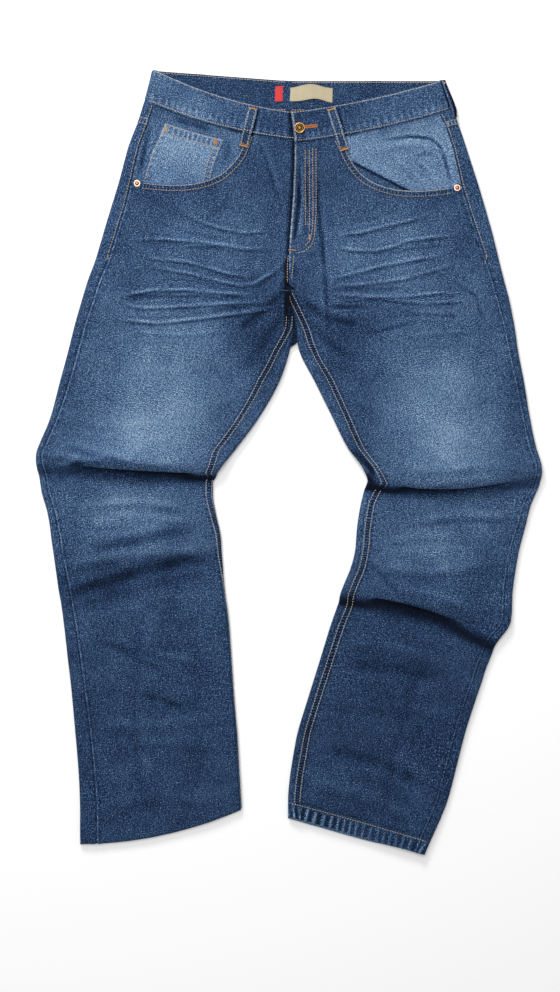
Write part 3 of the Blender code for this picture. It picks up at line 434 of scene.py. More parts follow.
    def spread(self, t, start, end, near, count):
        """Ring places from start to end: near the two ends by distance, evenly between."""
        fine = np.linspace(start, end, 321)
        along = self.run(t, fine)
        width = along[-1]
        near = np.array(near) * min(1, 0.3 * width / near[-1])
        even = np.linspace(near[-1], width - near[-1], count + 2)[1:-1]
        marks = np.concatenate([near, even, width - near[::-1]])
        return np.interp(marks, along, fine), marks


def outward(leg, t, s):
    """Unit normals of a leg's outer face."""
    lean_t, lean_s = 0.4, 0.003
    low = np.where(t < leg.crotch_t - 0.01, 0.0, -0.9)
    held = np.where(s > 3, s, np.maximum(s, low))
    along = leg.at(np.clip(t + lean_t, 0, None), held) - leg.at(np.clip(t - lean_t, 0, None), held)
    bare = (t < leg.crotch_t - 0.01) & (s > 2.9)
    after = np.where(bare, np.minimum(held + lean_s, 3), held + lean_s)
    before = np.where(s > 3, held - lean_s, np.maximum(held - lean_s, low))
    around = leg.at(t, after) - leg.at(t, before)
    cross = np.cross(around, along) * -leg.side
    return cross / np.maximum(np.linalg.norm(cross, axis=-1, keepdims=True), 1e-9)


def mouth(leg, opening, t, reach=1.0, extra=0.0):
    """How far the pocket mouth lies from the outseam, a quarter of a full oval."""
    share = 1 - (t / (leg.rivet_t * reach)) ** MOUTH_ROUNDNESS
    return (opening + extra) * np.maximum(share, 0) ** (1 / MOUTH_ROUNDNESS)


def beside_line(x, y, path):
    """Distance to a flat path, the signed distance, and the place along it, for places."""
    path = np.array(path, float)[:, :2]
    away, signed, along = np.full(x.shape, 1e6), np.zeros(x.shape), np.zeros(x.shape)
    gone = 0.0
    for a, b in zip(path, path[1:]):
        run = b - a
        length = np.hypot(*run)
        share = np.clip(((x - a[0]) * run[0] + (y - a[1]) * run[1]) / length**2, 0, 1)
        distance = np.hypot(x - a[0] - share * run[0], y - a[1] - share * run[1])
        closer = distance < away
        away = np.where(closer, distance, away)
        side = np.sign((y - a[1]) * run[0] - (x - a[0]) * run[1])
        signed = np.where(closer, side * distance, signed)
        along = np.where(closer, gone + share * length, along)
        gone += length
    return away, signed, along, gone


# Worn lines and small creases on the upper side. The pale whiskers are worn light, the
# dark lines are painted shade in creases and folds, and each streak also gets painted
# shade or highlight along one side. Each follows its path, with its half width, its
# height and how far it is worn light or painted dark.
Streak = namedtuple("Streak", "path width height tone")
TOP_STREAKS = [
    # Whiskers of the right thigh
    Streak([(-143.9, 347.3), (-126, 332.2), (-94.5, 321.3), (-63, 314.4), (-24.7, 317.2)], 2.0, 0.7, 0.20),
    Streak([(-189.1, 330.9), (-134.3, 313), (-65.8, 300.7)], 2.2, -0.4, -0.12),
    Streak(
        [(-213.7, 304.8), (-182.2, 306.2), (-156.2, 304.8), (-120.6, 302.1),
         (-80.8, 296.6), (-58.9, 292.5), (-24.7, 293.9)],
        2.1, 0.8, 0.26,
    ),
    Streak([(-152.1, 298), (-102.8, 296.6), (-67.1, 288.4)], 2.0, 0.5, 0.16),
    Streak(
        [(-202.8, 282.9), (-176.7, 278.8), (-138.4, 274.7), (-116.5, 269.2), (-80.8, 258.2), (-41.1, 254.1)],
        2.1, 0.8, 0.25,
    ),
    Streak(
        [(-195.9, 269.2), (-138.4, 259.6), (-94.5, 248.7), (-63, 241.8),
         (-46.6, 245.9), (-24.7, 258.2), (-6.9, 263.7)],
        2.1, 0.7, 0.22,
    ),
    Streak([(-175.4, 251.4), (-120.6, 245.9), (-76.7, 233.6)], 2.4, -0.4, -0.12),
    Streak(
        [(-238.4, 228.1), (-209.6, 232.2), (-182.2, 236.3), (-138.4, 236.3), (-94.5, 232.2), (-41.1, 228.1)],
        2.1, 0.9, 0.27,
    ),
    Streak([(-227.4, 222.6), (-189.1, 226.7), (-148, 226.7)], 3.2, -0.6, -0.20),
    Streak([(-161.7, 229.5), (-126, 230.8), (-80.8, 226.7)], 1.9, 0.5, 0.18),
    Streak(
        [(-231.5, 218.5), (-200, 211.7), (-160.3, 213), (-116.5, 215.8), (-76.7, 218.5), (-32.9, 219.9)],
        2.1, 0.8, 0.24,
    ),
    Streak(
        [(-245.2, 198), (-209.6, 193.9), (-178.1, 191.1), (-126, 196.6),
         (-72.6, 203.4), (-32.9, 208.9), (-6.9, 218.5)],
        2.1, 0.8, 0.28,
    ),
    Streak([(-116.5, 206.2), (-65.8, 211.7), (-24.7, 217.1)], 2.6, -0.5, -0.18),
    Streak([(-219.2, 180.2), (-148, 174.7), (-76.7, 181.5)], 2.4, 0.3, 0.08),
    Streak([(-154.8, 169.2), (-163, 137.7), (-171.2, 107.5)], 3.0, -0.3, -0.06),
    # Whiskers of the left thigh
    Streak([(67.1, 311.7), (98.6, 314.4), (128.8, 322.6), (164.4, 330.9), (193.2, 340.4)], 2.1, 0.8, 0.24),
    Streak([(78.1, 324), (123.3, 335), (158.9, 348.7)], 2.4, -0.4, -0.12),
    Streak(
        [(57.5, 296.6), (87.7, 291.1), (117.8, 289.8), (142.5, 295.2),
         (163, 303.5), (202.8, 308.9), (235.6, 311.7)],
        2.1, 0.8, 0.25,
    ),
    Streak([(126, 281.5), (167.1, 291.1), (216.5, 296.6)], 2.2, -0.5, -0.16),
    Streak([(53.4, 250), (87.7, 258.2), (128.8, 269.2), (169.9, 277.4), (213.7, 284.3)], 2.1, 0.8, 0.24),
    Streak([(53.4, 240.4), (106.9, 244.5), (157.6, 251.4), (197.3, 262.4), (235.6, 274.7)], 2.0, 0.7, 0.21),
    Streak([(53.4, 230.8), (101.4, 228.1), (157.6, 226.7), (202.8, 232.2), (241.1, 233.6)], 2.1, 0.8, 0.24),
    Streak([(57.5, 219.9), (115.1, 225.4), (153.4, 221.3), (193.2, 218.5), (254.8, 222.6)], 2.0, 0.5, 0.18),
    Streak([(78.1, 236.3), (131.5, 236.3), (167.1, 240.4)], 2.6, -0.5, -0.16),
    Streak([(53.4, 213), (84.9, 211.7), (115.1, 213)], 2.6, -0.7, -0.24),
    Streak([(157.6, 202.1), (200, 200.7), (241.1, 199.3)], 2.6, -0.5, -0.16),
    Streak([(101.4, 174.7), (137, 181.5), (171.2, 191.1)], 3.0, -0.5, -0.18),
    Streak([(221.9, 250), (254.8, 228.1), (268.5, 191.1)], 2.6, -0.6, -0.18),
    Streak([(153.4, 173.3), (208.2, 177.4), (260.3, 181.5)], 2.6, 0.3, 0.08),
    # Beside the fly: painted shadow along the left panel's fly edge, and painted highlight and shade on the
    # crumples of the fly
    Streak([(-2.2, 173.3), (-1.9, 222.6), (-1.4, 263.7)], 1.9, -0.8, -0.90),
    Streak([(-8.2, 222.6), (-4.1, 250), (-1.4, 280.2)], 4.0, -0.4, -0.30),
    Streak([(-35.6, 444.6), (-21.9, 403.5), (-5.5, 352.8)], 3.0, 0.5, 0.12),
    Streak([(-54.8, 236.3), (-30.1, 255.5), (-5.5, 274.7)], 3.0, 0.5, 0.12),
    Streak(
        [(56.2, 163.7), (53.4, 219.9), (50.7, 254.1), (48, 284.3), (42.5, 339.1), (39.7, 414.4)],
        2.6, -0.9, -0.30,
    ),
    Streak([(46.6, 365.1), (52.1, 304.8), (60.3, 236.3)], 4.0, 0.5, 0.06),
    Streak([(18.5, 411.7), (19.5, 380.2), (20, 352.8), (17.1, 329.5), (12.3, 304.8)], 2.2, 1.2, 0.24),
    Streak([(7.7, 299.3), (10.4, 315.8), (12.1, 340.4), (15.1, 359.6), (14.2, 387)], 2.4, -1.0, -0.44),
    Streak([(25.2, 414.4), (24.9, 373.3), (26, 340.4), (21.9, 315.8), (17.8, 299.3)], 1.8, -0.6, -0.22),
    Streak([(12.3, 274.7), (16.4, 255.5), (12.3, 233.6), (19.2, 208.9)], 3.0, 0.6, 0.06),
    Streak([(-43.8, 359.6), (-35.6, 304.8), (-41.1, 250)], 6.0, 0.5, 0.04),
    Streak([(-76.7, 384.3), (-86.3, 352.8), (-126, 329.5)], 5.0, -0.4, -0.08),
    Streak([(132.9, 359.6), (105.5, 339.1), (78.1, 325.4)], 4.0, -0.4, -0.08),
    # Inner thighs: painted shade where the cloth turns down to the crotch
    Streak([(-6.9, 233.6), (-35.6, 206.2), (-71.2, 181.5)], 5.0, -0.9, -0.24),
    Streak([(-5.5, 208.9), (-35.6, 161), (-65.8, 124)], 6.0, -0.6, -0.12),
    Streak([(16.4, 222.6), (50.7, 198), (101.4, 187)], 5.0, -0.9, -0.22),
    Streak([(32.9, 181.5), (71.2, 151.4), (105.5, 137.7)], 5.0, -0.7, -0.14),
    # Above the knee folds, with painted shade in the dark creases at the inner end of the left knee fold
    Streak([(-312.4, 34.9), (-257.6, 14.4), (-200, 2.1), (-137, -3.4)], 5.0, 0.4, 0.10),
    Streak([(-323.3, 14.4), (-279.5, 3.4), (-241.1, 6.2)], 4.0, 0.7, 0.10),
    Streak([(-298.7, 51.4), (-243.9, 41.8), (-175.4, 44.5)], 5.0, -0.3, -0.05),
    Streak([(160.3, -10.3), (221.9, -7.5), (297.3, 0.7)], 5.0, 0.4, 0.08),
    Streak([(142.5, -24), (194.5, -29.5), (263, -21.2)], 3.0, 0.3, 0.06),
    Streak([(84.9, 18.5), (112.3, -8.9), (117.8, -22.6)], 3.5, -1.0, -0.45),
    Streak([(93.2, 26.7), (117.8, -4.8), (131.5, -29.5)], 3.0, 0.6, 0.16),
    Streak([(104.1, -15.8), (112.3, -29.5), (121.9, -37.7)], 5.0, -0.6, -0.80),
    # Knees and shins: the dark bands are painted shade in creases and fold valleys
    Streak([(-317.8, -25.3), (-298.7, -10.3), (-276.7, 2.1)], 6.0, -0.5, -0.18),
    Streak([(-312.4, -10.3), (-295.9, 2.1), (-279.5, 8.9)], 5.0, 0.5, 0.10),
    Streak([(-291.8, -58.2), (-202.8, -51.4), (-134.3, -61)], 5.0, 0.5, 0.10),
    Streak([(-309.6, -84.3), (-257.6, -92.5), (-189.1, -87)], 4.0, -0.5, -0.10),
    Streak([(-243.9, -70.6), (-189.1, -73.3), (-126, -81.5)], 4.0, 0.5, 0.08),
    Streak(
        [(-271.3, -119.9), (-226.1, -110.3), (-198.7, -104.8), (-160.3, -96.6), (-115.1, -89.7)],
        7.0, -0.6, -0.20,
    ),
    # Painted highlight on the ridge above the right leg's second fold, and painted shade in its valley below
    Streak([(-315.1, -141.8), (-257.6, -130.8), (-189.1, -121.2), (-115.1, -115.8)], 7.0, 0.7, 0.12),
    Streak(
        [(-309.6, -191.1), (-285, -176), (-257.6, -166.5),
         (-198.7, -148.6), (-137, -134.9), (-95.9, -133.6)],
        8.0, -0.9, -0.36,
    ),
    Streak([(-298.7, -202.1), (-250.7, -182.9), (-189.1, -165.1), (-98.6, -150)], 12.0, -0.3, -0.18),
    Streak([(-264.4, -237.7), (-216.5, -250), (-164.4, -263.7), (-113.7, -276.1)], 4.0, 0.4, 0.08),
    Streak([(-241.1, -251.4), (-202.8, -273.3), (-158.9, -287)], 4.0, -0.5, -0.12),
    Streak([(-195.9, -317.2), (-168.5, -328.1), (-139.7, -337.7)], 4.0, -0.6, -0.16),
    Streak([(153.4, -82.9), (235.6, -70.6), (317.8, -73.3)], 5.0, 0.6, 0.10),
    Streak([(123.3, -117.1), (194.5, -107.5), (271.3, -113)], 5.0, -0.5, -0.08),
    Streak([(117.8, -141.8), (194.5, -148.6), (285, -136.3)], 6.0, 0.6, 0.08),
    Streak([(148, -171.9), (194.5, -177.4), (249.3, -196.6)], 5.0, 0.5, 0.08),
    Streak([(106.9, -133.6), (132.9, -161), (156.2, -185.6)], 4.0, -0.7, -0.12),
    Streak([(-278.1, -243.2), (-189.1, -259.6), (-100, -245.9)], 8.0, -0.6, -0.06),
    Streak([(-268.5, -311.7), (-194.5, -322.6), (-106.9, -339.1)], 9.0, -0.8, -0.08),
    Streak([(-264.4, -355.5), (-189.1, -358.3), (-84.9, -347.3)], 7.0, 0.6, 0.06),
    Streak([(-264.4, -407.6), (-175.4, -391.1), (-79.5, -402.1)], 8.0, -0.6, -0.06),
    Streak([(-257.6, -470.6), (-175.4, -451.4), (-84.9, -462.4)], 8.0, 0.6, 0.05),
    Streak([(-189.1, -188.4), (-202.8, -325.4), (-189.1, -478.8)], 6.0, 0.4, 0.05),
    Streak([(-134.3, -202.1), (-126, -311.7), (-120.6, -448.7)], 5.0, -0.4, -0.05),
    Streak([(75.4, -277.4), (142.5, -281.5), (209.6, -296.6)], 8.0, -1.0, -0.14),
    Streak([(71.2, -243.2), (139.7, -250), (221.9, -276.1)], 7.0, 0.6, 0.06),
    Streak([(57.5, -328.1), (153.4, -330.9), (243.9, -347.3)], 7.0, 0.5, 0.05),
    Streak([(39.7, -391.1), (126, -411.7), (209.6, -454.2)], 8.0, -1.1, -0.14),
    Streak([(32.9, -435), (98.6, -451.4), (180.8, -487)], 8.0, 0.6, 0.06),
    Streak([(194.5, -263.7), (158.9, -380.2), (134.3, -503.5)], 6.0, 0.4, 0.05),
]
# The shade beside each front belt loop, on the side of the fly
LOOP_SHADES = [
    Streak([(-38.9, 490), (-47, 459), (-55.6, 425)], 2.0, 0.0, -0.60),
    Streak([(65.8, 488), (75.8, 455), (86.2, 420)], 2.0, 0.0, -0.60),
]
# The same on the underside, pressed flat by the floor
BACK_STREAKS = [
    Streak([(-330, 44), (-262, 26), (-190, 30), (-120, 46)], 6.0, 0.8, 0.24),
    Streak([(-336, 12), (-262, -6), (-190, -4), (-118, 12)], 6.0, 0.9, 0.28),
    Streak([(-330, -24), (-250, -42), (-180, -38), (-112, -26)], 6.0, 0.8, 0.22),
    Streak([(-322, 78), (-240, 66), (-130, 80)], 5.0, 0.6, 0.16),
    Streak([(96, 62), (160, 46), (240, 44), (325, 64)], 6.0, 0.8, 0.24),
    Streak([(104, 26), (170, 8), (250, 6), (335, 22)], 6.0, 0.9, 0.28),
    Streak([(112, -12), (180, -30), (255, -32), (335, -18)], 6.0, 0.8, 0.22),
    Streak([(90, 96), (190, 82), (318, 98)], 5.0, 0.6, 0.16),
    Streak([(-262, 214), (-150, 230), (-44, 206)], 5.0, 0.6, 0.18),
    Streak([(-250, 186), (-150, 204), (-52, 180)], 5.0, 0.6, 0.14),
    Streak([(44, 206), (150, 228), (270, 216)], 5.0, 0.6, 0.18),
    Streak([(54, 182), (160, 202), (258, 184)], 5.0, 0.6, 0.14),
    Streak([(-300, -150), (-200, -166), (-100, -148)], 7.0, 0.6, 0.10),
    Streak([(92, -160), (190, -184), (290, -170)], 7.0, 0.6, 0.10),
    Streak([(-290, -300), (-190, -312), (-84, -296)], 8.0, 0.5, 0.08),
    Streak([(48, -300), (140, -322), (240, -310)], 8.0, 0.5, 0.08),
    Streak([(-280, -410), (-180, -420), (-76, -404)], 8.0, 0.5, 0.08),
    Streak([(20, -400), (110, -424), (214, -416)], 8.0, 0.5, 0.08),
]


# Strength of the streaks' tone, of the painted shadow along each pale streak, and of the painted glint
# beside each dark one
STREAK_TONE, WHISKER_SHADOW, CREASE_GLINT = 1.2, 1.2, 0.22


def streaks(x, y, table):
    """Height and tone that a table of streaks gives over places, with a painted shadow along one side of
    each pale streak and a faint painted glint beside each dark one.
    """
    height, tone = np.zeros_like(x), np.zeros_like(x)
    for one in table:
        path = np.array(one.path, float)
        margin = 4 * one.width
        near = (x > path[:, 0].min() - margin) & (x < path[:, 0].max() + margin)
        near &= (y > path[:, 1].min() - margin) & (y < path[:, 1].max() + margin)
        _, signed, along, gone = beside_line(x[near], y[near], path)
        above = signed / one.width
        share = along / gone
        ends = smooth(share / 0.2) * smooth((1 - share) / 0.2)
        ragged = 1 + 0.22 * np.sin(along / 9.3 + gone) + 0.08 * np.sin(along / 4.1 + 2 * gone)
        pale = np.exp(-1.1 * (above - 0.1) ** 2) - 0.22 * np.exp(-((above - 2.3) ** 2))
        shaded = bell(above + 1.6, 0.9)
        height[near] += one.height * ends * np.exp(-(abs(above) ** 1.4))
        shadow = WHISKER_SHADOW if one.tone > 0 else CREASE_GLINT
        tone[near] += STREAK_TONE * one.tone * ends * ragged * (pale - shadow * shaded)
    return height, tone


# How light the denim is, from 0 for raw blue to 1 for pale: washed down the legs,
# and in soft ovals with their half sizes. The wide pale ovals are washed fades; the
# dark ovals marked below are painted shade.
TOP_WASH = [
    (470, 0.30), (400, 0.26), (330, 0.30), (230, 0.34), (150, 0.36), (60, 0.36),
    (0, 0.38), (-60, 0.40), (-120, 0.34), (-190, 0.25), (-320, 0.20), (-540, 0.18),
]
BACK_WASH = [(470, 0.42), (330, 0.56), (220, 0.52), (100, 0.5), (0, 0.42), (-200, 0.3), (-540, 0.24)]
Oval = namedtuple("Oval", "place across along tone")
TOP_OVALS = [
    Oval((-168.5, 74.7), 86, 92, 0.34),
    Oval((-202.8, 37.7), 64, 38, 0.22),
    Oval((-154.8, 181.5), 80, 55, 0.16),
    Oval((-100, 304.8), 62, 36, 0.20),
    Oval((-216.5, -71.9), 52, 34, 0.25),
    # Painted shade where the right inner thigh turns down to the crotch
    Oval((-35.6, 170.6), 34, 62, -0.36),
    Oval((-86.3, 30.8), 30, 45, -0.12),
    # Painted shade along the right thigh's outer edge
    Oval((-298.7, 154.1), 26, 110, -0.08),
    Oval((208.2, 78.8), 74, 92, 0.34),
    Oval((153.4, -325.4), 80, 120, -0.12),
    Oval((228.8, 24), 58, 38, 0.20),
    Oval((132.9, 311.7), 62, 45, 0.22),
    Oval((80.8, 282.9), 22, 26, 0.14),
    Oval((167.1, 250), 70, 40, 0.12),
    Oval((194.5, -117.1), 62, 34, 0.27),
    # Painted shade where the left inner thigh turns down to the crotch
    Oval((78.1, 189.7), 58, 26, -0.22),
    Oval((68.5, 137.7), 26, 40, -0.24),
    Oval((101.4, 44.5), 24, 70, -0.16),
    # Painted shade along the left thigh's outer edge
    Oval((311, 85.6), 24, 110, -0.12),
    # Painted shade in the crotch hollow
    Oval((5.5, 222.6), 20, 40, -0.25),
    Oval((0, 218.5), 6, 26, -0.45),
    # Painted shade under the inner end of the left knee fold
    Oval((113.7, -28.1), 9, 10, -0.45),
    # Thin bands along the folds: darker at the right knee fold, paler at the left knee and calf folds
    Oval((-257.6, -0.7), 60, 9, -0.14),
    Oval((235.6, -21.2), 70, 8, 0.10),
    Oval((194.5, -188.4), 60, 12, 0.10),
    Oval((37, 373.3), 40, 30, -0.06),
]
BACK_OVALS = [
    Oval((-110, 330), 80, 90, 0.16),
    Oval((110, 330), 80, 90, 0.16),
    Oval((-160, 120), 70, 80, 0.14),
    Oval((170, 120), 70, 80, 0.14),
    Oval((-230, 0), 70, 60, -0.12),
    Oval((220, 10), 70, 60, -0.12),
]


def washed_and_shaded(x, y, down_table, ovals):
    """How light the cloth is over places, from its washed tone and the shade painted in its dark ovals,
    before its creases and seams.
    """
    rows = sorted(down_table)
    tone = np.interp(y, [row[0] for row in rows], [row[1] for row in rows])
    for oval in ovals:
        reach = ((x - oval.place[0]) / oval.across) ** 2 + ((y - oval.place[1]) / oval.along) ** 2
        tone = tone + oval.tone * np.exp(-reach)
    return tone


def swell(x, y, seed):
    """Slow unevenness of cloth that lies on cloth."""
    one = np.sin(x / 17 + y / 41 + seed) * np.sin(y / 23 - x / 53 + 2 * seed)
    two = np.sin(x / 31 - y / 19 + 3 * seed) * np.sin(y / 37 + x / 67)
    three = np.sin(x / 9 + y / 14 + seed) * np.sin(y / 11 - x / 21)
    return 0.30 * one + 0.38 * two + 0.10 * three


def pucker(along, away, seed):
    """Uneven roping beside a seam, which fades away from it."""
    phase = along * 0.72 + 1.9 * np.sin(along / 23 + seed) + 1.3 * np.sin(along / 9.1 + 2.3 * seed)
    strength = 0.65 + 0.35 * np.sin(along / 31 + 1.7 * seed)
    return strength * np.sin(phase + 0.25 * away) * bell(away, 5.5)


def bars(along, pitch, seed):
    """Phase of the uneven pale and dark bars that roping leaves along a seam."""
    uneven = 1.5 * np.sin(along / 27 + seed), 0.9 * np.sin(along / 10.3 + 2.3 * seed)
    return along * math.tau / pitch + uneven[0] + uneven[1]


def between(away, near, far, soft=0.9):
    """1 from near to far from a seam, and 0 elsewhere."""
    return smooth((away - near) / soft + 0.5) * smooth((far - away) / soft + 0.5)


def strongest(*ropings):
    """The phase and strength of the strongest roping at each place."""
    phase, strength = ropings[0]
    for other_phase, other in ropings[1:]:
        phase = np.where(other > strength, other_phase, phase)
        strength = np.maximum(strength, other)
    return phase, strength


def worn_edge(along, away, seed):
    """Uneven pale wear on the ridge beside a seam, and the dark line inside the seam."""
    rubbed = 0.85 + 0.15 * np.sin(along / 5.3 + seed) * np.sin(along / 13.7 + 2 * seed)
    return rubbed * bell(away - 1.6, 0.95) - 0.7 * bell(away, 0.7)


class Strand:
    """A socket of a material's nodes, so that sums can be written on it."""

    def __init__(self, tree, socket=None):
        self.tree, self.socket = tree, socket

    def node(self, kind, settings=(), inputs=(), output=0):
        """Adds a node: its settings are set first, then the values or links of its sockets."""
        made = self.tree.nodes.new(kind)
        for key, value in dict(settings).items():
            if key == "stops":
                ramp = made.color_ramp.elements
                while len(ramp) < len(value):
                    ramp.new(1.0)
                for stop, (place, colour) in zip(ramp, value):
                    stop.position = place
                    stop.color = (*colour, 1)
            else:
                setattr(made, key, value)
        for key, value in dict(inputs).items():
            if isinstance(value, Strand):
                self.tree.links.new(value.socket, made.inputs[key])
            else:
                made.inputs[key].default_value = value
        return Strand(self.tree, made.outputs[output])

    def sum(self, operation, first, second):
        return self.node("ShaderNodeMath", {"operation": operation}, {0: first, 1: second})

    def __add__(self, other):
        return self.sum("ADD", self, other)

    def __radd__(self, other):
        return self.sum("ADD", other, self)

    def __sub__(self, other):
        return self.sum("SUBTRACT", self, other)

    def __rsub__(self, other):
        return self.sum("SUBTRACT", other, self)

    def __mul__(self, other):
        return self.sum("MULTIPLY", self, other)

    def __rmul__(self, other):
        return self.sum("MULTIPLY", other, self)

    def stretched(self, x, y, z=1.0):
        return self.node("ShaderNodeVectorMath", {"operation": "MULTIPLY"}, {0: self, 1: (x, y, z)})

    def stored(self, name, output="Vector"):
        """What the mesh holds at each place under a name."""
        return self.node("ShaderNodeAttribute", {"attribute_name": name}, output=output)

    def part(self, which):
        """One of the three values of a vector."""
        return self.node("ShaderNodeSeparateXYZ", (), {0: self}, which)

    def wave(self):
        return self.node("ShaderNodeMath", {"operation": "SINE"}, {0: self})

    def noise(self, scale, detail, roughness=0.5):
        """Soft random values round one half, over this strand's places."""
        values = {"Vector": self, "Scale": scale, "Detail": detail, "Roughness": roughness}
        return self.node("ShaderNodeTexNoise", (), values)


def linear(red, green, blue):
    """A colour as a painter reads it, 0 to 255, as light."""
    shares = [value / 255 for value in (red, green, blue)]
    return tuple(((c + 0.055) / 1.055) ** 2.4 if c > 0.04 else c / 12.92 for c in shares)


def finish(name):
    """A new empty material, and a strand to build its nodes with."""
    made = bpy.data.materials.new(name)
    made.use_nodes = True
    made.node_tree.nodes.clear()
    return made, Strand(made.node_tree)


def close(strand, values):
    """Makes the shader from its values and sends it to the material's output."""
    shader = strand.node("ShaderNodeBsdfPrincipled", (), values)
    end = strand.tree.nodes.new("ShaderNodeOutputMaterial")
    strand.tree.links.new(shader.socket, end.inputs["Surface"])


def denim_cloth(name, stops, heather):
    """Washed twill: slubs down the warp, pale flecks, fine diagonals and roped seams."""
    made, strand = finish(name)
    cloth = strand.stored("cloth")
    wash = strand.stored("wash", "Fac")
    seam = strand.stored("seam")
    slub = cloth.stretched(0.60, 0.06).noise(1.0, 3.0, 0.6)
    thread = cloth.stretched(0.95, 0.20).noise(1.0, 1.0)
    fleck = cloth.stretched(0.78, 0.68).noise(1.0, 0.0)
    cloud = cloth.noise(0.022, 3.0)
    across = cloth.part(0)
    down = cloth.part(1)
    twill = ((across + down) * 6.6 + fleck * 4.0).wave()
    grain = (slub - 0.5) * 0.9 + (thread - 0.5) * 0.75 + (fleck - 0.5) * 2.1 + (cloud - 0.5) * 0.4
    phase = seam.part(0)
    strength = seam.part(1)
    wave = (phase + (fleck - 0.5) * 2.0).wave() * 0.5 + 0.5
    ridges = (wave * wave * 1.8 - 0.75) * strength
    level = wash + grain * heather + twill * 0.02 + ridges
    tint = {"Fac": level * 0.5 + 0.26}
    colour = strand.node("ShaderNodeValToRGB", {"stops": stops}, tint)
    relief = fleck * 0.7 + thread * 0.5 + twill * 0.16 + ridges * 1.6
    bump = strand.node("ShaderNodeBump", (), {"Strength": 0.55, "Distance": 0.0006, "Height": relief})
    values = {"Base Color": colour, "Roughness": 0.95, "Normal": bump, "Specular IOR Level": 0.08}
    close(strand, values)
    return made


# From the black-blue of painted shade in hollows to threads worn white, with the washed tone and painted
# shade running from 0.25 to 0.75
DENIM_STOPS = [
    (0.0, linear(8, 13, 24)),
    (0.25, linear(18, 34, 58)),
    (0.375, linear(33, 54, 85)),
    (0.5, linear(54, 78, 112)),
    (0.625, linear(80, 106, 138)),
    (0.75, linear(109, 135, 164)),
    (1.0, linear(170, 186, 200)),
]
denim = denim_cloth("denim", DENIM_STOPS, 1.0)

INSIDE_WASH = 0.72


def cloth_piece(
    name, outer, lean, wall, across, down, wash, paint, inside=INSIDE_WASH, present=None, rope=None
):
    """Closes a grid of cloth into a thin shell with its grain, its washed tone and painted shade, and its
    roping on it.
    """
    rows, cols = outer.shape[:2]
    phase, strength = (np.zeros((rows, cols)), np.zeros((rows, cols))) if rope is None else rope
    if present is None:
        present = np.ones((rows - 1, cols - 1), bool)
    thick = np.broadcast_to(np.asarray(wall, float), outer.shape[:2])[..., None]
    inner = outer - lean * thick
    index = np.arange(rows * cols).reshape(rows, cols)
    i, j = np.nonzero(present)
    quads = np.stack([index[i, j], index[i + 1, j], index[i + 1, j + 1], index[i, j + 1]], axis=1)
    faces = [quads, quads[:, ::-1] + rows * cols]
    padded = np.zeros((rows + 1, cols + 1), bool)
    padded[1:-1, 1:-1] = present
    beside = [(0, -1, 0, 1), (1, 0, 1, 2), (0, 1, 2, 3), (-1, 0, 3, 0)]
    for di, dj, a, b in beside:
        open_edge = ~padded[i + 1 + di, j + 1 + dj]
        ring = quads[open_edge]
        below = ring + rows * cols
        faces.append(np.stack([ring[:, b], ring[:, a], below[:, a], below[:, b]], axis=1))
    faces = np.concatenate(faces)
    points = np.concatenate([outer.reshape(-1, 3), inner.reshape(-1, 3)]) * METRES
    used = np.unique(faces)
    fresh = np.full(len(points), -1)
    fresh[used] = np.arange(len(used))
    mesh = bpy.data.meshes.new(name)
    mesh.from_pydata(points[used].tolist(), [], fresh[faces].tolist())
    grain = np.stack([across.ravel(), down.ravel(), np.zeros(rows * cols)], axis=1)
    store(mesh, "cloth", np.concatenate([grain, grain + [40, 90, 0]])[used])
    seam = np.stack([phase.ravel(), strength.ravel(), np.zeros(rows * cols)], axis=1)
    store(mesh, "seam", np.concatenate([seam, 0 * seam])[used])
    inside = np.broadcast_to(np.asarray(inside, float), outer.shape[:2])
    store(mesh, "wash", np.concatenate([wash.ravel(), inside.ravel()])[used])
    mesh.validate()
    mesh.update()
    return put(name, mesh, paint)


def store(mesh, name, values):
    """Keeps values at the points of a mesh: one number each, or three."""
    values = np.asarray(values, np.float32)
    kind, field = ("FLOAT", "value") if values.ndim == 1 else ("FLOAT_VECTOR", "vector")
    mesh.attributes.new(name, kind, "POINT").data.foreach_set(field, values.ravel())


def put(name, mesh, paint):
    """Makes the object of a mesh, turned the right way out, with its finish."""
    work = np.zeros(len(mesh.vertices) * 3)
    mesh.vertices.foreach_get("co", work)
    points = work.reshape(-1, 3)
    mesh.calc_loop_triangles()
    corners = np.zeros(len(mesh.loop_triangles) * 3, int)
    mesh.loop_triangles.foreach_get("vertices", corners)
    a, b, c = points[corners.reshape(-1, 3)].transpose(1, 0, 2)
    if np.einsum("ij,ij->i", a, np.cross(b, c)).sum() < 0:
        mesh.flip_normals()
    mesh.shade_smooth()
    mesh.set_sharp_from_angle(angle=math.radians(55))
    mesh.materials.append(paint)
    piece = bpy.data.objects.new(name, mesh)
    bpy.context.scene.collection.objects.link(piece)
    return piece


# Painted shade under each fold: from a section of a leg down to a depth, inside and outside
FoldShade = namedtuple("FoldShade", "side row below above depth tone inner outer")
FOLD_SHADES = [
    FoldShade(-1, "knee valley", 4.0, 13.0, 17.0, 1.25, 1.0, 0.3),
    FoldShade(-1, "calf valley", -2.0, 16.0, 24.0, 0.14, 0.4, 1.0),
    FoldShade(1, "knee valley", 6.0, 15.0, 12.0, 1.05, 1.0, 0.3),
    FoldShade(1, "calf valley", 2.0, 9.0, 13.0, 0.95, 1.0, 0.8),
]


def settle(piece):
    """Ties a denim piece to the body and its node."""
    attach(piece, "root")
    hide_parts(piece.name.removesuffix("_denim"))


def facing(lean):
    """How much of the cloth looks up, and how much looks down."""
    return smooth(lean[..., 2] * 2), smooth(-lean[..., 2] * 2)


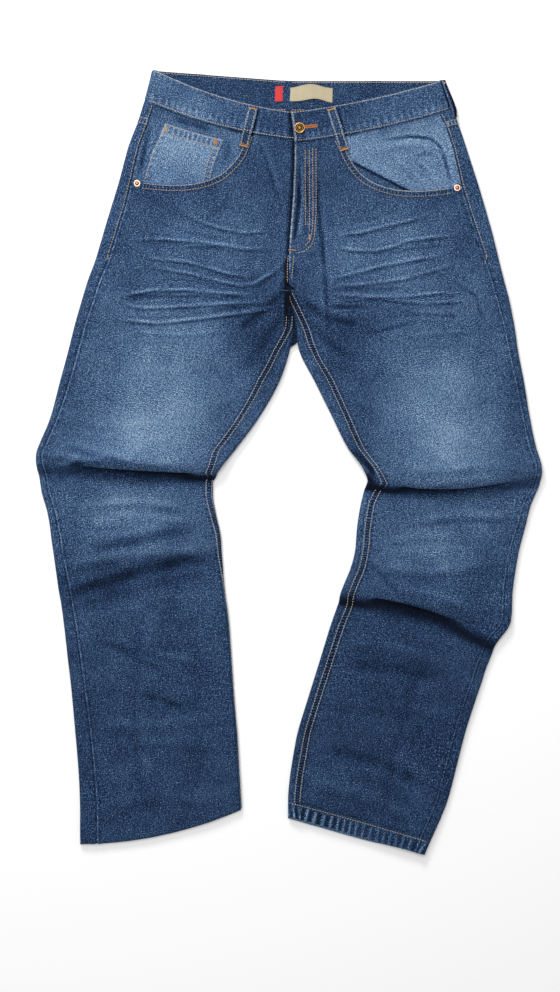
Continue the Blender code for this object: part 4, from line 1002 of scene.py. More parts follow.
def hollow(leg, t, s):
    """Painted shade that darkens the cloth in the hollows under its folds."""
    dark = np.zeros_like(t)
    over_top = np.where(s > 3, s - 4, s)
    names = [row.name for row in leg.sections]
    for one in FOLD_SHADES:
        if one.side != leg.side:
            continue
        middle = leg.knots[names.index(one.row)] + one.below
        along = bell(t - middle, np.where(t < middle, one.above, one.depth))
        across = one.inner + (one.outer - one.inner) * smooth((over_top - 0.1) / 0.8)
        dark += one.tone * along * across * smooth((1.4 - over_top) / 0.3) * smooth((over_top + 0.4) / 0.2)
    return dark


def dressed(leg, t, s, seed):
    """Base points, normals, lift and washed tone of a piece of leg, before its seams, with painted shade and
    highlight from its streaks, dark ovals and fold hollows.
    """
    base = leg.at(t, s)
    lean = outward(leg, t, s)
    up, under = facing(lean)
    x, y = base[..., 0], base[..., 1]
    smoothed = 1 - smooth(leg.column("over", t) / 5)
    rise, tone = streaks(x, y, TOP_STREAKS)
    press, mark = streaks(x, y, BACK_STREAKS)
    lift = up * smoothed * (rise + swell(x, y, seed))
    lift = lift - under * (abs(press) + 0.25 * abs(swell(x, y, seed + 5)))
    wash = washed_and_shaded(x, y, TOP_WASH, TOP_OVALS) * (1 - under)
    wash = wash + washed_and_shaded(x, y, BACK_WASH, BACK_OVALS) * under
    wash = wash + up * smoothed * tone + under * mark + 0.07 * swell(x * 1.7, y * 0.7, seed + 2)
    # Painted shade in the hollows under the folds
    wash = wash - hollow(leg, t, s)
    return base, lean, lift, wash


def edge_groove(away):
    """The dip of cloth into a seam and the swell of the seam allowance beside it."""
    return 0.45 * bell(away - 4, 3) - 0.75 * bell(away, 1.3)


BESIDE_SEAM = (0, 0.7, 1.4, 2.2, 3.1, 4.1, 5.3, 6.7, 8.3, 10.2, 12.4)
FRONT_COLUMNS = 56
MOUTH_HEM = 8.4
ROW_STEP = 2.7
WHISKER_STEP = 1.7
MOUTH_STEP = 0.8
FOLD_ROW = 1.3


def down_rows(leg, first, last, fine=ROW_STEP):
    """Row places down a leg, closer where the cloth folds over."""
    found = [first]
    while found[-1] < last - FOLD_ROW:
        over = max(leg.column("over", found[-1]), leg.column("over", found[-1] + ROW_STEP))
        step = fine if found[-1] < leg.crotch_t + 110 else ROW_STEP
        step = MOUTH_STEP if found[-1] < leg.rivet_t + 12 and fine < ROW_STEP else step
        found.append(found[-1] + (FOLD_ROW if over > 0 else step))
    found[-1] = last
    return found


def tuck_rows(leg, depth, count):
    """Row places round the turned-under end, and along the cloth behind it."""
    curl = math.pi * TUCK_CURL
    rows = [leg.length + curl * k / 8 for k in range(1, 9)]
    return rows + [leg.length + curl + depth * k / count for k in range(1, count + 1)]


def mouth_curve(leg, opening):
    """The flat path of a pocket mouth, from the waist seam to the rivet."""
    t = leg.rivet_t * np.sin(np.radians(np.linspace(0, 90, 90)))
    s = [leg.from_outer(place, leg.column("seam_out", place) + mouth(leg, opening, place)) for place in t]
    return leg.at(t, np.array(s))[:, :2]


def front_panel(leg, word, opening, seed):
    """Front leg panel with its mouth edge, fly edge, seams and, on the left, its hem."""
    mouth_rows = [max(leg.rivet_t * math.sin(math.radians(a)), 0.0) for a in np.linspace(0, 90, 64)]
    places = mouth_rows + down_rows(leg, leg.rivet_t + 1.5, leg.length, WHISKER_STEP)
    if leg.tucked:
        places += tuck_rows(leg, TUCK_DEPTH, 8)
    s_rows, mark_rows = [], []
    for t in places:
        held = min(t, leg.length)
        start = leg.from_inner(t, leg.column("seam_in", held))
        end = leg.from_outer(t, leg.column("seam_out", held) + mouth(leg, opening, t))
        s_row, marks = leg.spread(t, start, end, BESIDE_SEAM, FRONT_COLUMNS)
        s_rows.append(s_row)
        mark_rows.append(marks)
    s, away_in = np.array(s_rows), np.array(mark_rows)
    t = np.repeat(np.array(places)[:, None], s.shape[1], axis=1)
    away_out = away_in[:, -1:] - away_in
    base, lean, lift, wash = dressed(leg, t, s, seed)

    below_mouth = smooth((t - leg.rivet_t) / 8)
    below_crotch = smooth((t - leg.crotch_t) / 10)
    rope_out = pucker(t, away_out, seed)
    rope_in = pucker(t, away_in, seed + 1)
    hem = np.zeros_like(t) if leg.hem_t is None else smooth((t - leg.hem_t + 1) / 2)
    lift += edge_groove(away_out) * below_mouth + 0.32 * rope_out * below_mouth * (1 - hem)
    lift += (0.28 * rope_in - 0.3 * bell(away_in, 2)) * below_crotch * (1 - hem)
    wash += (0.05 * rope_out + 0.46 * worn_edge(t, away_out, seed)) * below_mouth
    wash -= 0.14 * bell(away_out - 4.0, 1.6) * below_mouth
    wash += (0.10 * rope_in - 0.18 * bell(away_in, 2.4)) * below_crotch

    # The mouth edge is turned in and stitched twice, so it is thick and rubbed pale
    edge = mouth_curve(leg, opening)
    from_mouth, _, round_mouth, _ = beside_line(base[..., 0], base[..., 1], edge)
    by_mouth = smooth((leg.rivet_t + 18 - t) / 3)
    turned_in = by_mouth * smooth((MOUTH_HEM - from_mouth) / 1.2 + 0.5)
    lift += turned_in * 0.5 - by_mouth * 0.9 * bell(from_mouth, 1.1)
    wash += by_mouth * 0.42 * bell(from_mouth - 1.1, 0.9)
    wash += by_mouth * 0.12 * bell(from_mouth - MOUTH_HEM, 1.0)
    wash -= 0.08 * by_mouth * between(from_mouth, 2.2, MOUTH_HEM - 1)
    # Painted shade on the panel beside the raised edge of the turned hem
    wash -= 0.16 * by_mouth * bell(from_mouth - MOUTH_HEM - 1.8, 1.2)
    rope = strongest(
        (bars(round_mouth, 4.8, seed), 0.22 * by_mouth * between(from_mouth, 2.4, MOUTH_HEM - 0.6)),
        (bars(t, 15.0, seed + 1), 0.09 * below_mouth * (1 - by_mouth) * bell(away_out - 4, 3.5)),
        (bars(t, 7.1, seed + 2), 0.10 * below_crotch * bell(away_in - 3, 3.5)),
    )

    # The waist seam at the top, with painted shade along it under the band's edge, and the painted shade
    # beside the belt loop's foot
    lift -= 0.8 * bell(t, 1.6)
    wash -= 0.10 * bell(t, 4) + 0.30 * bell(t, 1.3)
    wash += streaks(base[..., 0], base[..., 1], LOOP_SHADES)[1]

    # The fly laps over from the left side and is stitched down along a curve
    on_fly = smooth((t + 2) / 4) * smooth((leg.crotch_t - 24 - t) / 12)
    if leg.side > 0:
        lift += on_fly * (1.1 * smooth((34 - away_in) / 5) - 0.7 * bell(away_in, 1.0))
        lift += on_fly * 0.8 * bell(away_in - 4, 2.5)
        lift += on_fly * 0.35 * pucker(t, away_in, 9.0)
        wash += on_fly * (0.55 * bell(away_in - 0.9, 1.0) + 0.16 * pucker(t, away_in, 9.0))
        wash += on_fly * (0.07 * np.sin(t / 3.1 + 0.2 * away_in) * bell(away_in - 26, 8))
    else:
        # On the right panel: dark where the left panel covers it, and painted shadow fading out beside the
        # left panel's fly edge
        fly_line = left.at(np.linspace(0, left.crotch_t, 40), np.zeros(40))
        _, beyond, _, _ = beside_line(base[..., 0], base[..., 1], fly_line)
        under_fly_shade = np.where(beyond > 0, 1.0, bell(beyond, 4.0))
        wash -= 0.95 * smooth((t + 2) / 4) * smooth((leg.crotch_t + 4 - t) / 6) * under_fly_shade
    if leg.hem_t is not None:
        band = t - leg.hem_t
        across = away_in * 0.95
        phase = bars(across, 9.4, 3.0) + 0.14 * band
        ridge = np.sin(phase) * smooth((band + 3) / 5)
        lift += hem * 0.45 + 0.42 * ridge - 0.7 * bell(band - 1.5, 1.0)
        lift -= 0.9 * bell(leg.length - t, 1.2)
        wash += 0.04 * hem + 0.40 * bell(leg.length - t - 1.2, 1.1)
        wash -= (0.16 + 0.10 * np.sin(across / 9.0)) * bell(band + 3.5, 3.0)
        patchy = 0.35 + 0.13 * np.sin(across / 31 + 1.0) + 0.12 * smooth((70 - across) / 60)
        rope = strongest(rope, (phase, patchy * between(band, 2.6, 30.0, 1.6)))
    outer = base + lean * lift[..., None]
    name = f"front_{word}_denim"
    return cloth_piece(name, outer, lean, leg.wall(t), away_in, t, wash, denim, rope=rope)


right = Leg(RIGHT_SECTIONS, -1, RIGHT_BAND, 0.08, True)
left = Leg(LEFT_SECTIONS, 1, LEFT_BAND, 0.13, False)
front_right = front_panel(right, "right", MOUTH_RIGHT, 1.0)
front_left = front_panel(left, "left", MOUTH_LEFT, 2.2)
for piece in (front_right, front_left):
    settle(piece)

# Back leg panels and yokes. The backs are cut wider than the fronts, so at both sides
# they wrap up over the edge. The yoke is felled to the back below it, and the two
# halves are felled together down the centre.

WRAP_COLUMNS = 6
FLOOR_COLUMNS = 46
FELL_WIDTH = 10.0
PEEK = 4.0
BACK_TUCK = 10


def back_ring(leg, name, first, last, seed):
    """Back panel or yoke: over the outseam, under the leg and up to the inseam."""
    full = last > leg.crotch_t
    places = down_rows(leg, first, last)
    if full and leg.tucked:
        places += tuck_rows(leg, BACK_TUCK, 3)
    if full:
        places = sorted([p for p in places if abs(p - leg.crotch_t) > 0.8] + [leg.crotch_t])
    s_rows, out_rows, in_rows = [], [], []
    for t in places:
        start = leg.from_outer(t, leg.column("seam_out", t))
        outer, marks = leg.spread(t, start, 2.0, BESIDE_SEAM, WRAP_COLUMNS)
        floor_s = 2 + np.linspace(0, 1, FLOOR_COLUMNS + 1)[1:]
        seam = leg.from_inner(t, leg.column("seam_in", t))
        held = max(t, leg.crotch_t)
        inner, rise = leg.spread(held, 3.0, 4 + seam, BESIDE_SEAM, WRAP_COLUMNS)
        gone = leg.run(t, np.concatenate([[2.0], floor_s]))[1:]
        s_rows.append(np.concatenate([outer, floor_s, inner[1:]]))
        out_rows.append(np.concatenate([marks, marks[-1] + gone, marks[-1] + gone[-1] + rise[1:]]))
        in_rows.append(out_rows[-1][-1] - out_rows[-1])
    s, away_out, away_in = np.array(s_rows), np.array(out_rows), np.array(in_rows)
    t = np.repeat(np.array(places)[:, None], s.shape[1], axis=1)
    present = np.ones((len(places) - 1, s.shape[1] - 1), bool)
    for i, place in enumerate(places[:-1]):
        if place < leg.crotch_t - 0.01:
            present[i] = s[i][1:] <= 3
        if place > leg.length - 0.01:
            present[i] = s[i][1:] < 1.55
    if not full:
        present[:] = s[:-1, 1:] <= 3
    bare = t < leg.crotch_t - 0.01
    base, lean, lift, wash = dressed(leg, t, s, seed)
    lean = np.where((bare & (s > 2.9))[..., None], np.array([0, 0, -1.0]), lean)
    above = smooth(lean[..., 2] * 2)
    rope_out = pucker(t, away_out, seed)
    hem = np.zeros_like(t) if leg.hem_t is None else smooth((t - leg.hem_t + 1) / 2)
    lift += edge_groove(away_out) + 0.32 * rope_out * (1 - hem)
    wash += 0.04 * rope_out - 0.25 * bell(away_out, 1.3) - 0.01 * above * between(away_out, 1.5, 14.0, 3.0)

    # The felled inseam is a raised strip, with its edge on the side of the back
    on_strip = np.where(bare, 0.0, smooth((FELL_WIDTH - away_in) / 1.0))
    rope_in = np.where(bare, 0.0, pucker(t, away_in, seed + 1))
    lift += np.where(above > 0, 1, 0.3) * (0.55 * on_strip + 0.30 * rope_in)
    wash += np.where(bare, 0.0, 0.08 * rope_in + 0.22 * bell(away_in - 0.8, 0.8))
    wash += np.where(bare, 0.0, 0.26 * bell(away_in - FELL_WIDTH + 0.5, 0.8))
    # Painted shade beside the strip's raised edge
    wash -= np.where(bare, 0.0, 0.20 * bell(away_in - FELL_WIDTH - 1.2, 1.2))
    wash -= np.where(bare, 0.0, 0.30 * between(away_in, 2.2, FELL_WIDTH - 2))
    rope = strongest(
        (bars(t, 13.0, seed), 0.08 * bell(away_out - 4, 3.5)),
        (bars(t, 3.9, seed + 1), np.where(bare, 0.0, 0.34 * between(away_in, 2.0, FELL_WIDTH - 1.6))),
        (bars(away_out, 4.6, seed + 2), 0.42 * between(leg.yoke_t - t, 2.0, 8.4)),
        (bars(t, 4.2, seed + 3), np.where(bare & (s > 2), 0.20 * between(abs(base[..., 0]), 2.0, 8.0), 0.0)),
    )

    # The centre back seam and the yoke seam on the underside
    centre = np.where(bare & (s > 2), abs(base[..., 0]), 99.0)
    wash += 0.16 * worn_edge(t, centre, seed + 6) + 0.10 * pucker(t, centre - 4, seed + 2)
    yoke_away = abs(t - leg.yoke_t)
    wash += 0.14 * worn_edge(away_out, yoke_away, seed + 7)
    wash += 0.18 * above * between(leg.yoke_t - t, 2.0, 8.4)
    lift -= 0.5 * bell(yoke_away, 1.2)
    if leg.hem_t is not None and full:
        band = t - leg.hem_t
        phase = bars(away_in, 9.0, 5.0) + 0.14 * band
        ridge = np.sin(phase) * smooth((band + 3) / 5)
        lift += (hem * 0.35 + 0.35 * ridge) * above - 0.2 * (1 - above) * hem * (1 + ridge)
        wash += 0.16 * hem + 0.30 * worn_edge(away_in, leg.length - t, 2.0)
        rope = strongest(rope, (phase, 0.36 * between(band, 2.6, 30.0, 1.6)))
    outer = base + lean * lift[..., None]
    if leg.hem_t is not None and full:
        share = np.clip(s - 2, 0, 1) * smooth((t - leg.length + 30) / 30)
        outer[..., 1] -= PEEK * smooth(share * 2) * (s < 3.6)
    return cloth_piece(
        f"{name}_denim", outer, lean, leg.wall(t), away_out, t + 300, wash, denim, present=present, rope=rope
    )


# The seat's cloth seen between the legs, from under the fly to where the legs part, painted dark as the
# shade in that slit
SEEN_FROM, SEEN_PINCH, SEEN_TO = 254.0, 236.0, 157.0


def shaded_crotch_fold():
    """A strip of the seat's cloth, painted dark as shade, that fills the slit between the two inner edges.
    """
    rows, cols = 70, 7
    y = np.linspace(SEEN_FROM, SEEN_TO, rows)
    reaches = []
    for leg in (right, left):
        t = np.linspace(leg.crotch_t, leg.crotch_t + 110, 120)
        line = leg.at(t, np.full(120, -0.5))
        reaches.append(np.interp(-y, -line[:, 1], line[:, 0]) + leg.side * -0.15)
    wide = (y > SEEN_PINCH)[:, None]
    share = np.linspace(0, 1, cols)[None, :]
    shut = smooth((y - SEEN_TO) / 9)[:, None]
    x = reaches[0][:, None] + (reaches[1] - reaches[0])[:, None] * share * shut
    x = np.where(wide, -6 + 14 * share, x)
    points = np.stack([x, np.repeat(y[:, None], cols, axis=1), np.full((rows, cols), 4.0)], axis=-1)
    lean = np.zeros_like(points)
    lean[..., 2] = 1
    # Painted shade over the whole strip
    wash = np.full((rows, cols), -0.30)
    return cloth_piece("crotch_fold_denim", points, lean, DENIM, x, points[..., 1], wash, denim, wash)


backs = []
for leg, word, seed in ((right, "right", 3.1), (left, "left", 4.4)):
    backs.append(back_ring(leg, f"yoke_{word}", 0.0, leg.yoke_t, seed))
    backs.append(back_ring(leg, f"back_{word}", leg.yoke_t, leg.length, seed))
for piece in backs:
    settle(piece)
fold = shaded_crotch_fold()
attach(fold, "root")

# Pocket facings. They are patches of the same denim, sewn inside the mouths on the
# pocket bags. They are paler than the panels round them, and the left one gapes.

FACING_UNDERLAP = 12.0
FACING_REACH = 1.1
FACING_DROP_RIGHT, FACING_DROP_LEFT = 3.1, 2.6
GAPE = [(87.7, 412.5), (94.5, 408.9), (131.5, 389.8), (171.2, 369.2), (186.3, 361.5)]
# Creases on the facings: the dark ones are painted shade in their folds, and the faint pale ones lighten
# their ridges
FACING_STREAKS = [
    Streak(
        [(131.5, 439.1), (146.6, 443.2), (164.4, 446.2), (180.8, 445.1),
         (194.5, 443.7), (208.2, 432.2), (212.4, 417.2)],
        2.0, -0.8, -0.60,
    ),
    Streak([(120.6, 432.2), (143.9, 436.3), (180.8, 437.7), (197.3, 430.9)], 5.0, 0.3, 0.06),
    Streak([(212.4, 425.4), (216.5, 406.2), (223.3, 381.5)], 2.2, -0.7, -0.45),
    Streak([(180.8, 414.4), (197.3, 398), (208.2, 378.8)], 3.0, 0.4, 0.08),
    Streak([(146.6, 414.4), (167.1, 403.5), (183.6, 384.3)], 4.0, 0.4, 0.06),
    Streak([(172.6, 417.2), (186.3, 422.6), (202.8, 419.9)], 2.4, -0.4, -0.16),
    Streak([(-189.1, 463.7), (-197.3, 428.1), (-204.1, 392.5)], 3.0, -0.5, -0.30),
    Streak([(-164.4, 473.3), (-134.3, 463.7), (-100, 452.8)], 3.0, -0.4, -0.22),
    Streak([(-84.9, 447.3), (-82.2, 428.1), (-90.4, 406.2)], 5.0, -0.4, -0.16),
]
light_denim = denim_cloth("light_denim", DENIM_STOPS, 0.9)


def inset(leg, name, t, s, marks, room, drop, base_wash, seed):
    """A patch that lies below the front panel's own surface, inside the mouth."""
    base = leg.at(t, s)
    lean = outward(leg, t, s)
    away = marks[:, -1:] - marks
    x, y = base[..., 0], base[..., 1]
    rise, tone = streaks(x, y, FACING_STREAKS)
    lift = rise + 0.5 * swell(x, y, seed) * smooth(t / 12)
    # The facing's tone and creases, with painted shade along the waist seam under the band's edge
    wash = base_wash + tone + 0.09 * swell(x * 1.4, y, seed + 1) - 0.15 * bell(t, 5)
    wash -= 0.40 * bell(t, 1.3)
    if leg.side > 0:
        # Below this line the cloth has fallen away from the gaping mouth, into shadow
        _, fallen, _, _ = beside_line(x, y, GAPE)
        lift = lift - 0.9 * smooth(-fallen / 1.5)
        wash = wash - 0.40 * smooth(-fallen / 1.2 + 0.3) - 0.85 * bell(fallen + 0.6, 1.5)
    # It lies level with the panels at the two seams, and lower behind the mouth
    near_mouth = smooth((away - room + 34) / 18)
    sunk = drop * np.maximum(near_mouth, smooth(t / 16 + 0.05) * smooth(away / 12 + 0.1))
    outer = base + lean * lift[..., None]
    outer[..., 2] -= sunk
    return cloth_piece(name, outer, lean, DENIM, marks, t + 700, wash, light_denim)


def facing_patch(leg, name, opening, drop, base_wash, seed):
    """Facing with its own edge under the panel, a little larger than the mouth."""
    foot = leg.rivet_t * FACING_REACH
    places = [max(foot * math.sin(math.radians(a)), 0.2) for a in np.linspace(0, 76, 44)]
    s_rows, mark_rows = [], []
    for t in places:
        edge = leg.column("seam_out", t) + SEAM_GAP
        far = edge + mouth(leg, opening, t, FACING_REACH, FACING_UNDERLAP)
        s_row, marks = leg.spread(t, leg.from_outer(t, far), leg.from_outer(t, edge), (0, 2, 4), 52)
        s_rows.append(s_row)
        mark_rows.append(marks)
    s, marks = np.array(s_rows), np.array(mark_rows)
    t = np.repeat(np.array(places)[:, None], s.shape[1], axis=1)
    room = mouth(leg, opening, t)
    return inset(leg, name, t, s, marks, room, drop, base_wash, seed)


facing_right = facing_patch(right, "pocket_facing_right_denim", MOUTH_RIGHT, FACING_DROP_RIGHT, 0.50, 6.0)
facing_left = facing_patch(left, "pocket_facing_left_denim", MOUTH_LEFT, FACING_DROP_LEFT, 0.73, 7.0)
for piece in (facing_right, facing_left):
    settle(piece)

# Coin pocket. It is a small patch with a turned and twice-stitched top edge, sewn on
# the right facing with its lower end inside the front panel.

COIN_TOP, COIN_FOOT = 17.0, 88.0
COIN_WIDTH, COIN_FLARE = 82.0, 0.12
COIN_ASIDE, COIN_SLANT, COIN_MARGIN = 22.0, 0.1, 4.0
COIN_BAND = 13.0

coin_rows = np.linspace(COIN_TOP, COIN_FOOT, 48)
s_rows, mark_rows = [], []
for t in coin_rows:
    seam = right.column("seam_out", t)
    edge = seam + COIN_ASIDE - COIN_SLANT * (t - COIN_TOP)
    edge_of_facing = seam + mouth(right, MOUTH_RIGHT, t, FACING_REACH, FACING_UNDERLAP)
    far = min(edge + COIN_WIDTH + COIN_FLARE * (t - COIN_TOP), edge_of_facing - COIN_MARGIN)
    ends = right.from_outer(t, far), right.from_outer(t, edge)
    s_row, marks = right.spread(t, *ends, (0, 0.8, 1.7, 2.8), 34)
    s_rows.append(s_row)
    mark_rows.append(marks)
s, marks = np.array(s_rows), np.array(mark_rows)
t = np.repeat(coin_rows[:, None], s.shape[1], axis=1)
base, lean = right.at(t, s), outward(right, t, s)
away_side = marks[:, -1:] - marks
below_top = t - COIN_TOP
rope = pucker(marks, below_top - 6, 3.0) + pucker(t, away_side, 5.0)
lift = 0.25 * rope + 0.35 * smooth((COIN_BAND - below_top) / 1.5)
lift += 0.3 * swell(base[..., 0], base[..., 1], 8.0)
lift -= 0.6 * bell(below_top, 0.9) + 0.6 * bell(away_side, 0.9)
wash = 0.84 + 0.12 * rope + 0.18 * worn_edge(marks, below_top, 1.0) + 0.16 * worn_edge(t, away_side, 2.0)
wash += 0.14 * bell(below_top - COIN_BAND, 1.6) - 0.24 * smooth((t - 40) / 45)
wash -= 0.10 * (between(below_top, 2.0, COIN_BAND - 1.5) + between(marks, 2.0, 9.0))
coin_rope = strongest(
    (bars(marks, 6.6, 1.0), 0.26 * between(below_top, 2.2, COIN_BAND - 1.5)),
    (bars(t, 6.0, 2.0), 0.20 * between(marks, 2.0, 9.0)),
    (bars(t, 7.0, 3.0), 0.12 * between(away_side, 2.0, 9.0)),
)
coin_drop = FACING_DROP_RIGHT - DENIM - SEAM_GAP
coin_outer = base + lean * lift[..., None] - np.array([0, 0, coin_drop])
coin_pocket = cloth_piece(
    "coin_pocket_denim", coin_outer, lean, DENIM, marks, t + 60, wash, light_denim, rope=coin_rope
)
settle(coin_pocket)

# Waistband. It is one long strip folded over the top of the cloth and stitched along
# both edges. The end with the buttonhole laps over the end with the button.

BAND_WALL = 2.0
BAND_ROWS = 26
BAND_DEPTH = 42.0
BACK_LOOP_X = 120.0
LOOP_WIDTH = 13.0


def band_point(leg, share, s):
    """A point of the waistband: share runs from the seam to the upper edge."""
    low = leg.at(np.zeros_like(s), s)
    stops = [0, 0.5, 1, 2, 3]
    steps = [leg.band[0], leg.band[1], leg.band[2], leg.band[2], leg.band[3]]
    across = np.interp(s, stops, [step.across for step in steps])
    up = np.interp(s, stops, [step.up for step in steps])
    moved = low.copy()
    moved[..., 0] += across * share
    moved[..., 1] += up * share
    moved[..., 2] *= 1 + 0.1 * share
    return moved


def grid_normals(points):
    """Unit normals of a grid of points."""
    cross = np.cross(np.gradient(points, axis=1), np.gradient(points, axis=0))
    return cross / np.maximum(np.linalg.norm(cross, axis=-1, keepdims=True), 1e-9)


half_rings = np.concatenate([
    np.linspace(0, 0.03, 9), np.linspace(0.04, 0.97, 84), np.linspace(0.976, 1, 9),
    np.linspace(1, 2, 20)[1:], np.linspace(2, 3, 80)[1:],
])
edge_shares = np.array([0, 0.015, 0.035, 0.06, 0.09, 0.13])
shares = np.concatenate([edge_shares, np.linspace(0.13, 0.87, BAND_ROWS - 10)[1:-1], 1 - edge_shares[::-1]])
faces_out, walls_out = [], []
for leg in (right, left):
    s = np.repeat(half_rings[None, :], len(shares), axis=0)
    share = np.repeat(shares[:, None], len(half_rings), axis=1)
    face = band_point(leg, share, s)
    face[:, -1, 0] = 0
    lean = grid_normals(face) * -leg.side
    faces_out.append(face)
    walls_out.append(lean)
face = np.concatenate([faces_out[0], faces_out[1][:, -2::-1]], axis=1)
lean = np.concatenate([walls_out[0], walls_out[1][:, -2::-1]], axis=1)
if lean[10, 40, 2] < 0:
    lean = -lean
lean[:, len(half_rings) - 1] = (0, 0, -1)
share = np.repeat(shares[:, None], face.shape[1], axis=1)
steps = np.linalg.norm(np.diff(face[len(shares) // 2], axis=0), axis=1)
along = np.repeat(np.concatenate([[0], np.cumsum(steps)])[None, :], len(shares), axis=0)
away_top, away_foot = (1 - share) * BAND_DEPTH, share * BAND_DEPTH
up, under = facing(lean)
x, y = face[..., 0], face[..., 1]
rope = pucker(along, away_top, 1.3) + pucker(along, away_foot, 2.6)
lift = 0.22 * rope * (up + 0.3) + 0.35 * swell(x, y, 2.0) * up
lift += 0.30 * bell(away_top - 5, 3) + 0.30 * bell(away_foot - 5, 3)
lift -= 0.8 * bell(away_top, 1.1) + 0.8 * bell(away_foot, 1.1)
for loop_x in (-BACK_LOOP_X, 0.0, BACK_LOOP_X):
    lift -= under * 1.3 * smooth((LOOP_WIDTH / 2 + 3 - abs(x - loop_x)) / 2.5)
lift = np.where(under > 0.5, np.minimum(lift, 0), lift)
wash = 0.22 * up + 0.40 * (1 - up) + 0.10 * swell(x * 1.3, y, 3.0) + 0.13 * rope
wash += 0.42 * worn_edge(along, away_top, 1.0) + 0.26 * worn_edge(along, away_foot, 2.0)
wash += 0.10 * up * between(away_foot, 4.0, 11.0, 2.0)
# The button end goes under the other, in its shade, and the upper end is rubbed along its edge
under_side = np.arange(face.shape[1])[None, :] < len(half_rings)
band_end = band_point(left, np.linspace(0, 1, 12), np.zeros(12))
_, beyond, _, _ = beside_line(x, y, band_end[::-1])
shade = np.where(beyond > 0, 1.0, bell(beyond, 4.0)) * up
wash -= 0.9 * np.where(under_side & (x > -30) & (x < 40), shade, 0)
from_end = np.where(under_side, 99.0, along[:, -1:] - along)
wash += 0.70 * bell(from_end - 1.4, 1.4) - 0.15 * bell(from_end - 8, 5)
lift += 0.9 * smooth((60 - from_end) / 50) * smooth(from_end / 1.2)
# A dark line of painted shade runs along the band's corner, between the band and the loop that stands off
# its left corner
ring = np.concatenate([half_rings, half_rings[-2::-1]])[None, :]
wash -= np.where(under_side, 0.0, 1.0) * between(ring, 0.996, 1.06, 0.012) * up
band_rope = strongest(
    (bars(along, 9.3, 1.0), 0.17 * up * between(away_foot, 4.0, 14.0, 3.0)),
    (bars(along, 8.3, 2.0), 0.08 * between(away_top, 3.0, 9.0, 2.0)),
)
wash += 0.20 * bell(x - 165, 60) * up + 0.30 * bell(x + 140, 70) * up
inside = 0.18 + 0.12 * rope + 0.34 * worn_edge(along, away_top, 4.0) - 0.12 * bell(away_foot, 6)
inside += 0.08 * swell(x, y, 9.0)
wash += streaks(x, y, LOOP_SHADES)[1] * up
band = cloth_piece(
    "waistband_denim", face + lean * lift[..., None], lean, BAND_WALL, y + 900, along, wash, denim, inside,
    rope=band_rope,
)
settle(band)

# Back pockets. They are plain patches with a pointed foot, double stitched round the
# sides and foot and hemmed along the top. They lie under the seat, against the floor.

POCKET_TOP, POCKET_SIDE, POCKET_POINT = 402.0, 266.0, 249.0
POCKET_INNER, POCKET_OUTER = 36.0, 182.0
POCKET_TAPER = 8.0


def pocket_edges(side, share):
    """Both side edges of a back pocket at a share of its depth."""
    middle = side * (POCKET_INNER + POCKET_OUTER) / 2
    half = (POCKET_OUTER - POCKET_INNER) / 2 - POCKET_TAPER * share
    return middle - half, middle + half


def back_pocket(word, side):
    """One plain patch pocket, its face towards the floor."""
    rows, cols = 44, 44
    outer = np.zeros((rows, cols, 3))
    near_edge, away_top = np.zeros((rows, cols)), np.zeros((rows, cols))
    for i, share in enumerate(np.linspace(0, 1, rows)):
        low, high = pocket_edges(side, share)
        places = np.linspace(low, high, cols)
        middle = (low + high) / 2
        peak = 1 - abs(places - middle) / ((high - low) / 2)
        foot = POCKET_SIDE + (POCKET_POINT - POCKET_SIDE) * peak
        outer[i, :, 0] = places
        outer[i, :, 1] = POCKET_TOP + (foot - POCKET_TOP) * share
        away_top[i] = POCKET_TOP - outer[i, :, 1]
        sides = np.minimum(places - low, high - places)
        near_edge[i] = np.minimum(np.minimum(sides, outer[i, :, 1] - foot), away_top[i])
    x, y = outer[..., 0], outer[..., 1]
    rope = pucker(x + y, near_edge, side + 3.0)
    outer[..., 2] = 0.6 * bell(near_edge, 0.9) + 0.12 * (1 + rope) + 0.12 * abs(swell(x, y, side))
    lean = np.zeros_like(outer)
    lean[..., 2] = -1
    wash = 0.56 + 0.16 * rope + 0.34 * worn_edge(x + y, near_edge, side + 1.0) + 0.10 * swell(x, y, side)
    wash += 0.12 * bell(near_edge - 9, 2)
    return cloth_piece(
        f"back_pocket_{word}_denim", outer, lean, DENIM - 0.3, x + 500, y, wash, denim
    )


for word, side in (("right", -1), ("left", 1)):
    settle(back_pocket(word, side))

# Belt loops. Each is a strip folded in three, with two rows of stitches, and its ends
# are turned under and tacked down. Two are on the front, one on the left corner is
# seen on its edge, and three more are pressed flat under the back.

LOOP_WALL = 1.3
LOOP_BULGE, SIDE_BULGE = 1.6, 2.4
LOOP_RIGHT_TOP, LOOP_RIGHT_FOOT = (-47.5, 486), (-61.5, 431)
LOOP_LEFT_TOP, LOOP_LEFT_FOOT = (59, 484.5), (77.5, 426)
SIDE_LOOP_TOP, SIDE_LOOP_FOOT = 0.98, 12.0


def trees_of(pieces):
    """Search trees over finished pieces, in metres."""
    graph = bpy.context.evaluated_depsgraph_get()
    return [BVHTree.FromObject(piece, graph) for piece in pieces]


def landed(trees, x, y, from_below=False):
    """Where a plumb line through x, y first meets the cloth, and its normal there."""
    start, way = (-0.05, 1) if from_below else (0.1, -1)
    best = None
    for tree in trees:
        spot, lean, _, _ = tree.ray_cast(Vector((x * METRES, y * METRES, start)), Vector((0, 0, way)))
        if spot is not None and (best is None or (spot.z - best[0].z) * way < 0):
            best = (spot, lean)
    if best is None:
        return None
    lean = best[1] if best[1].z * way < 0 else -best[1]
    return np.array(best[0]) / METRES, np.array(lean)


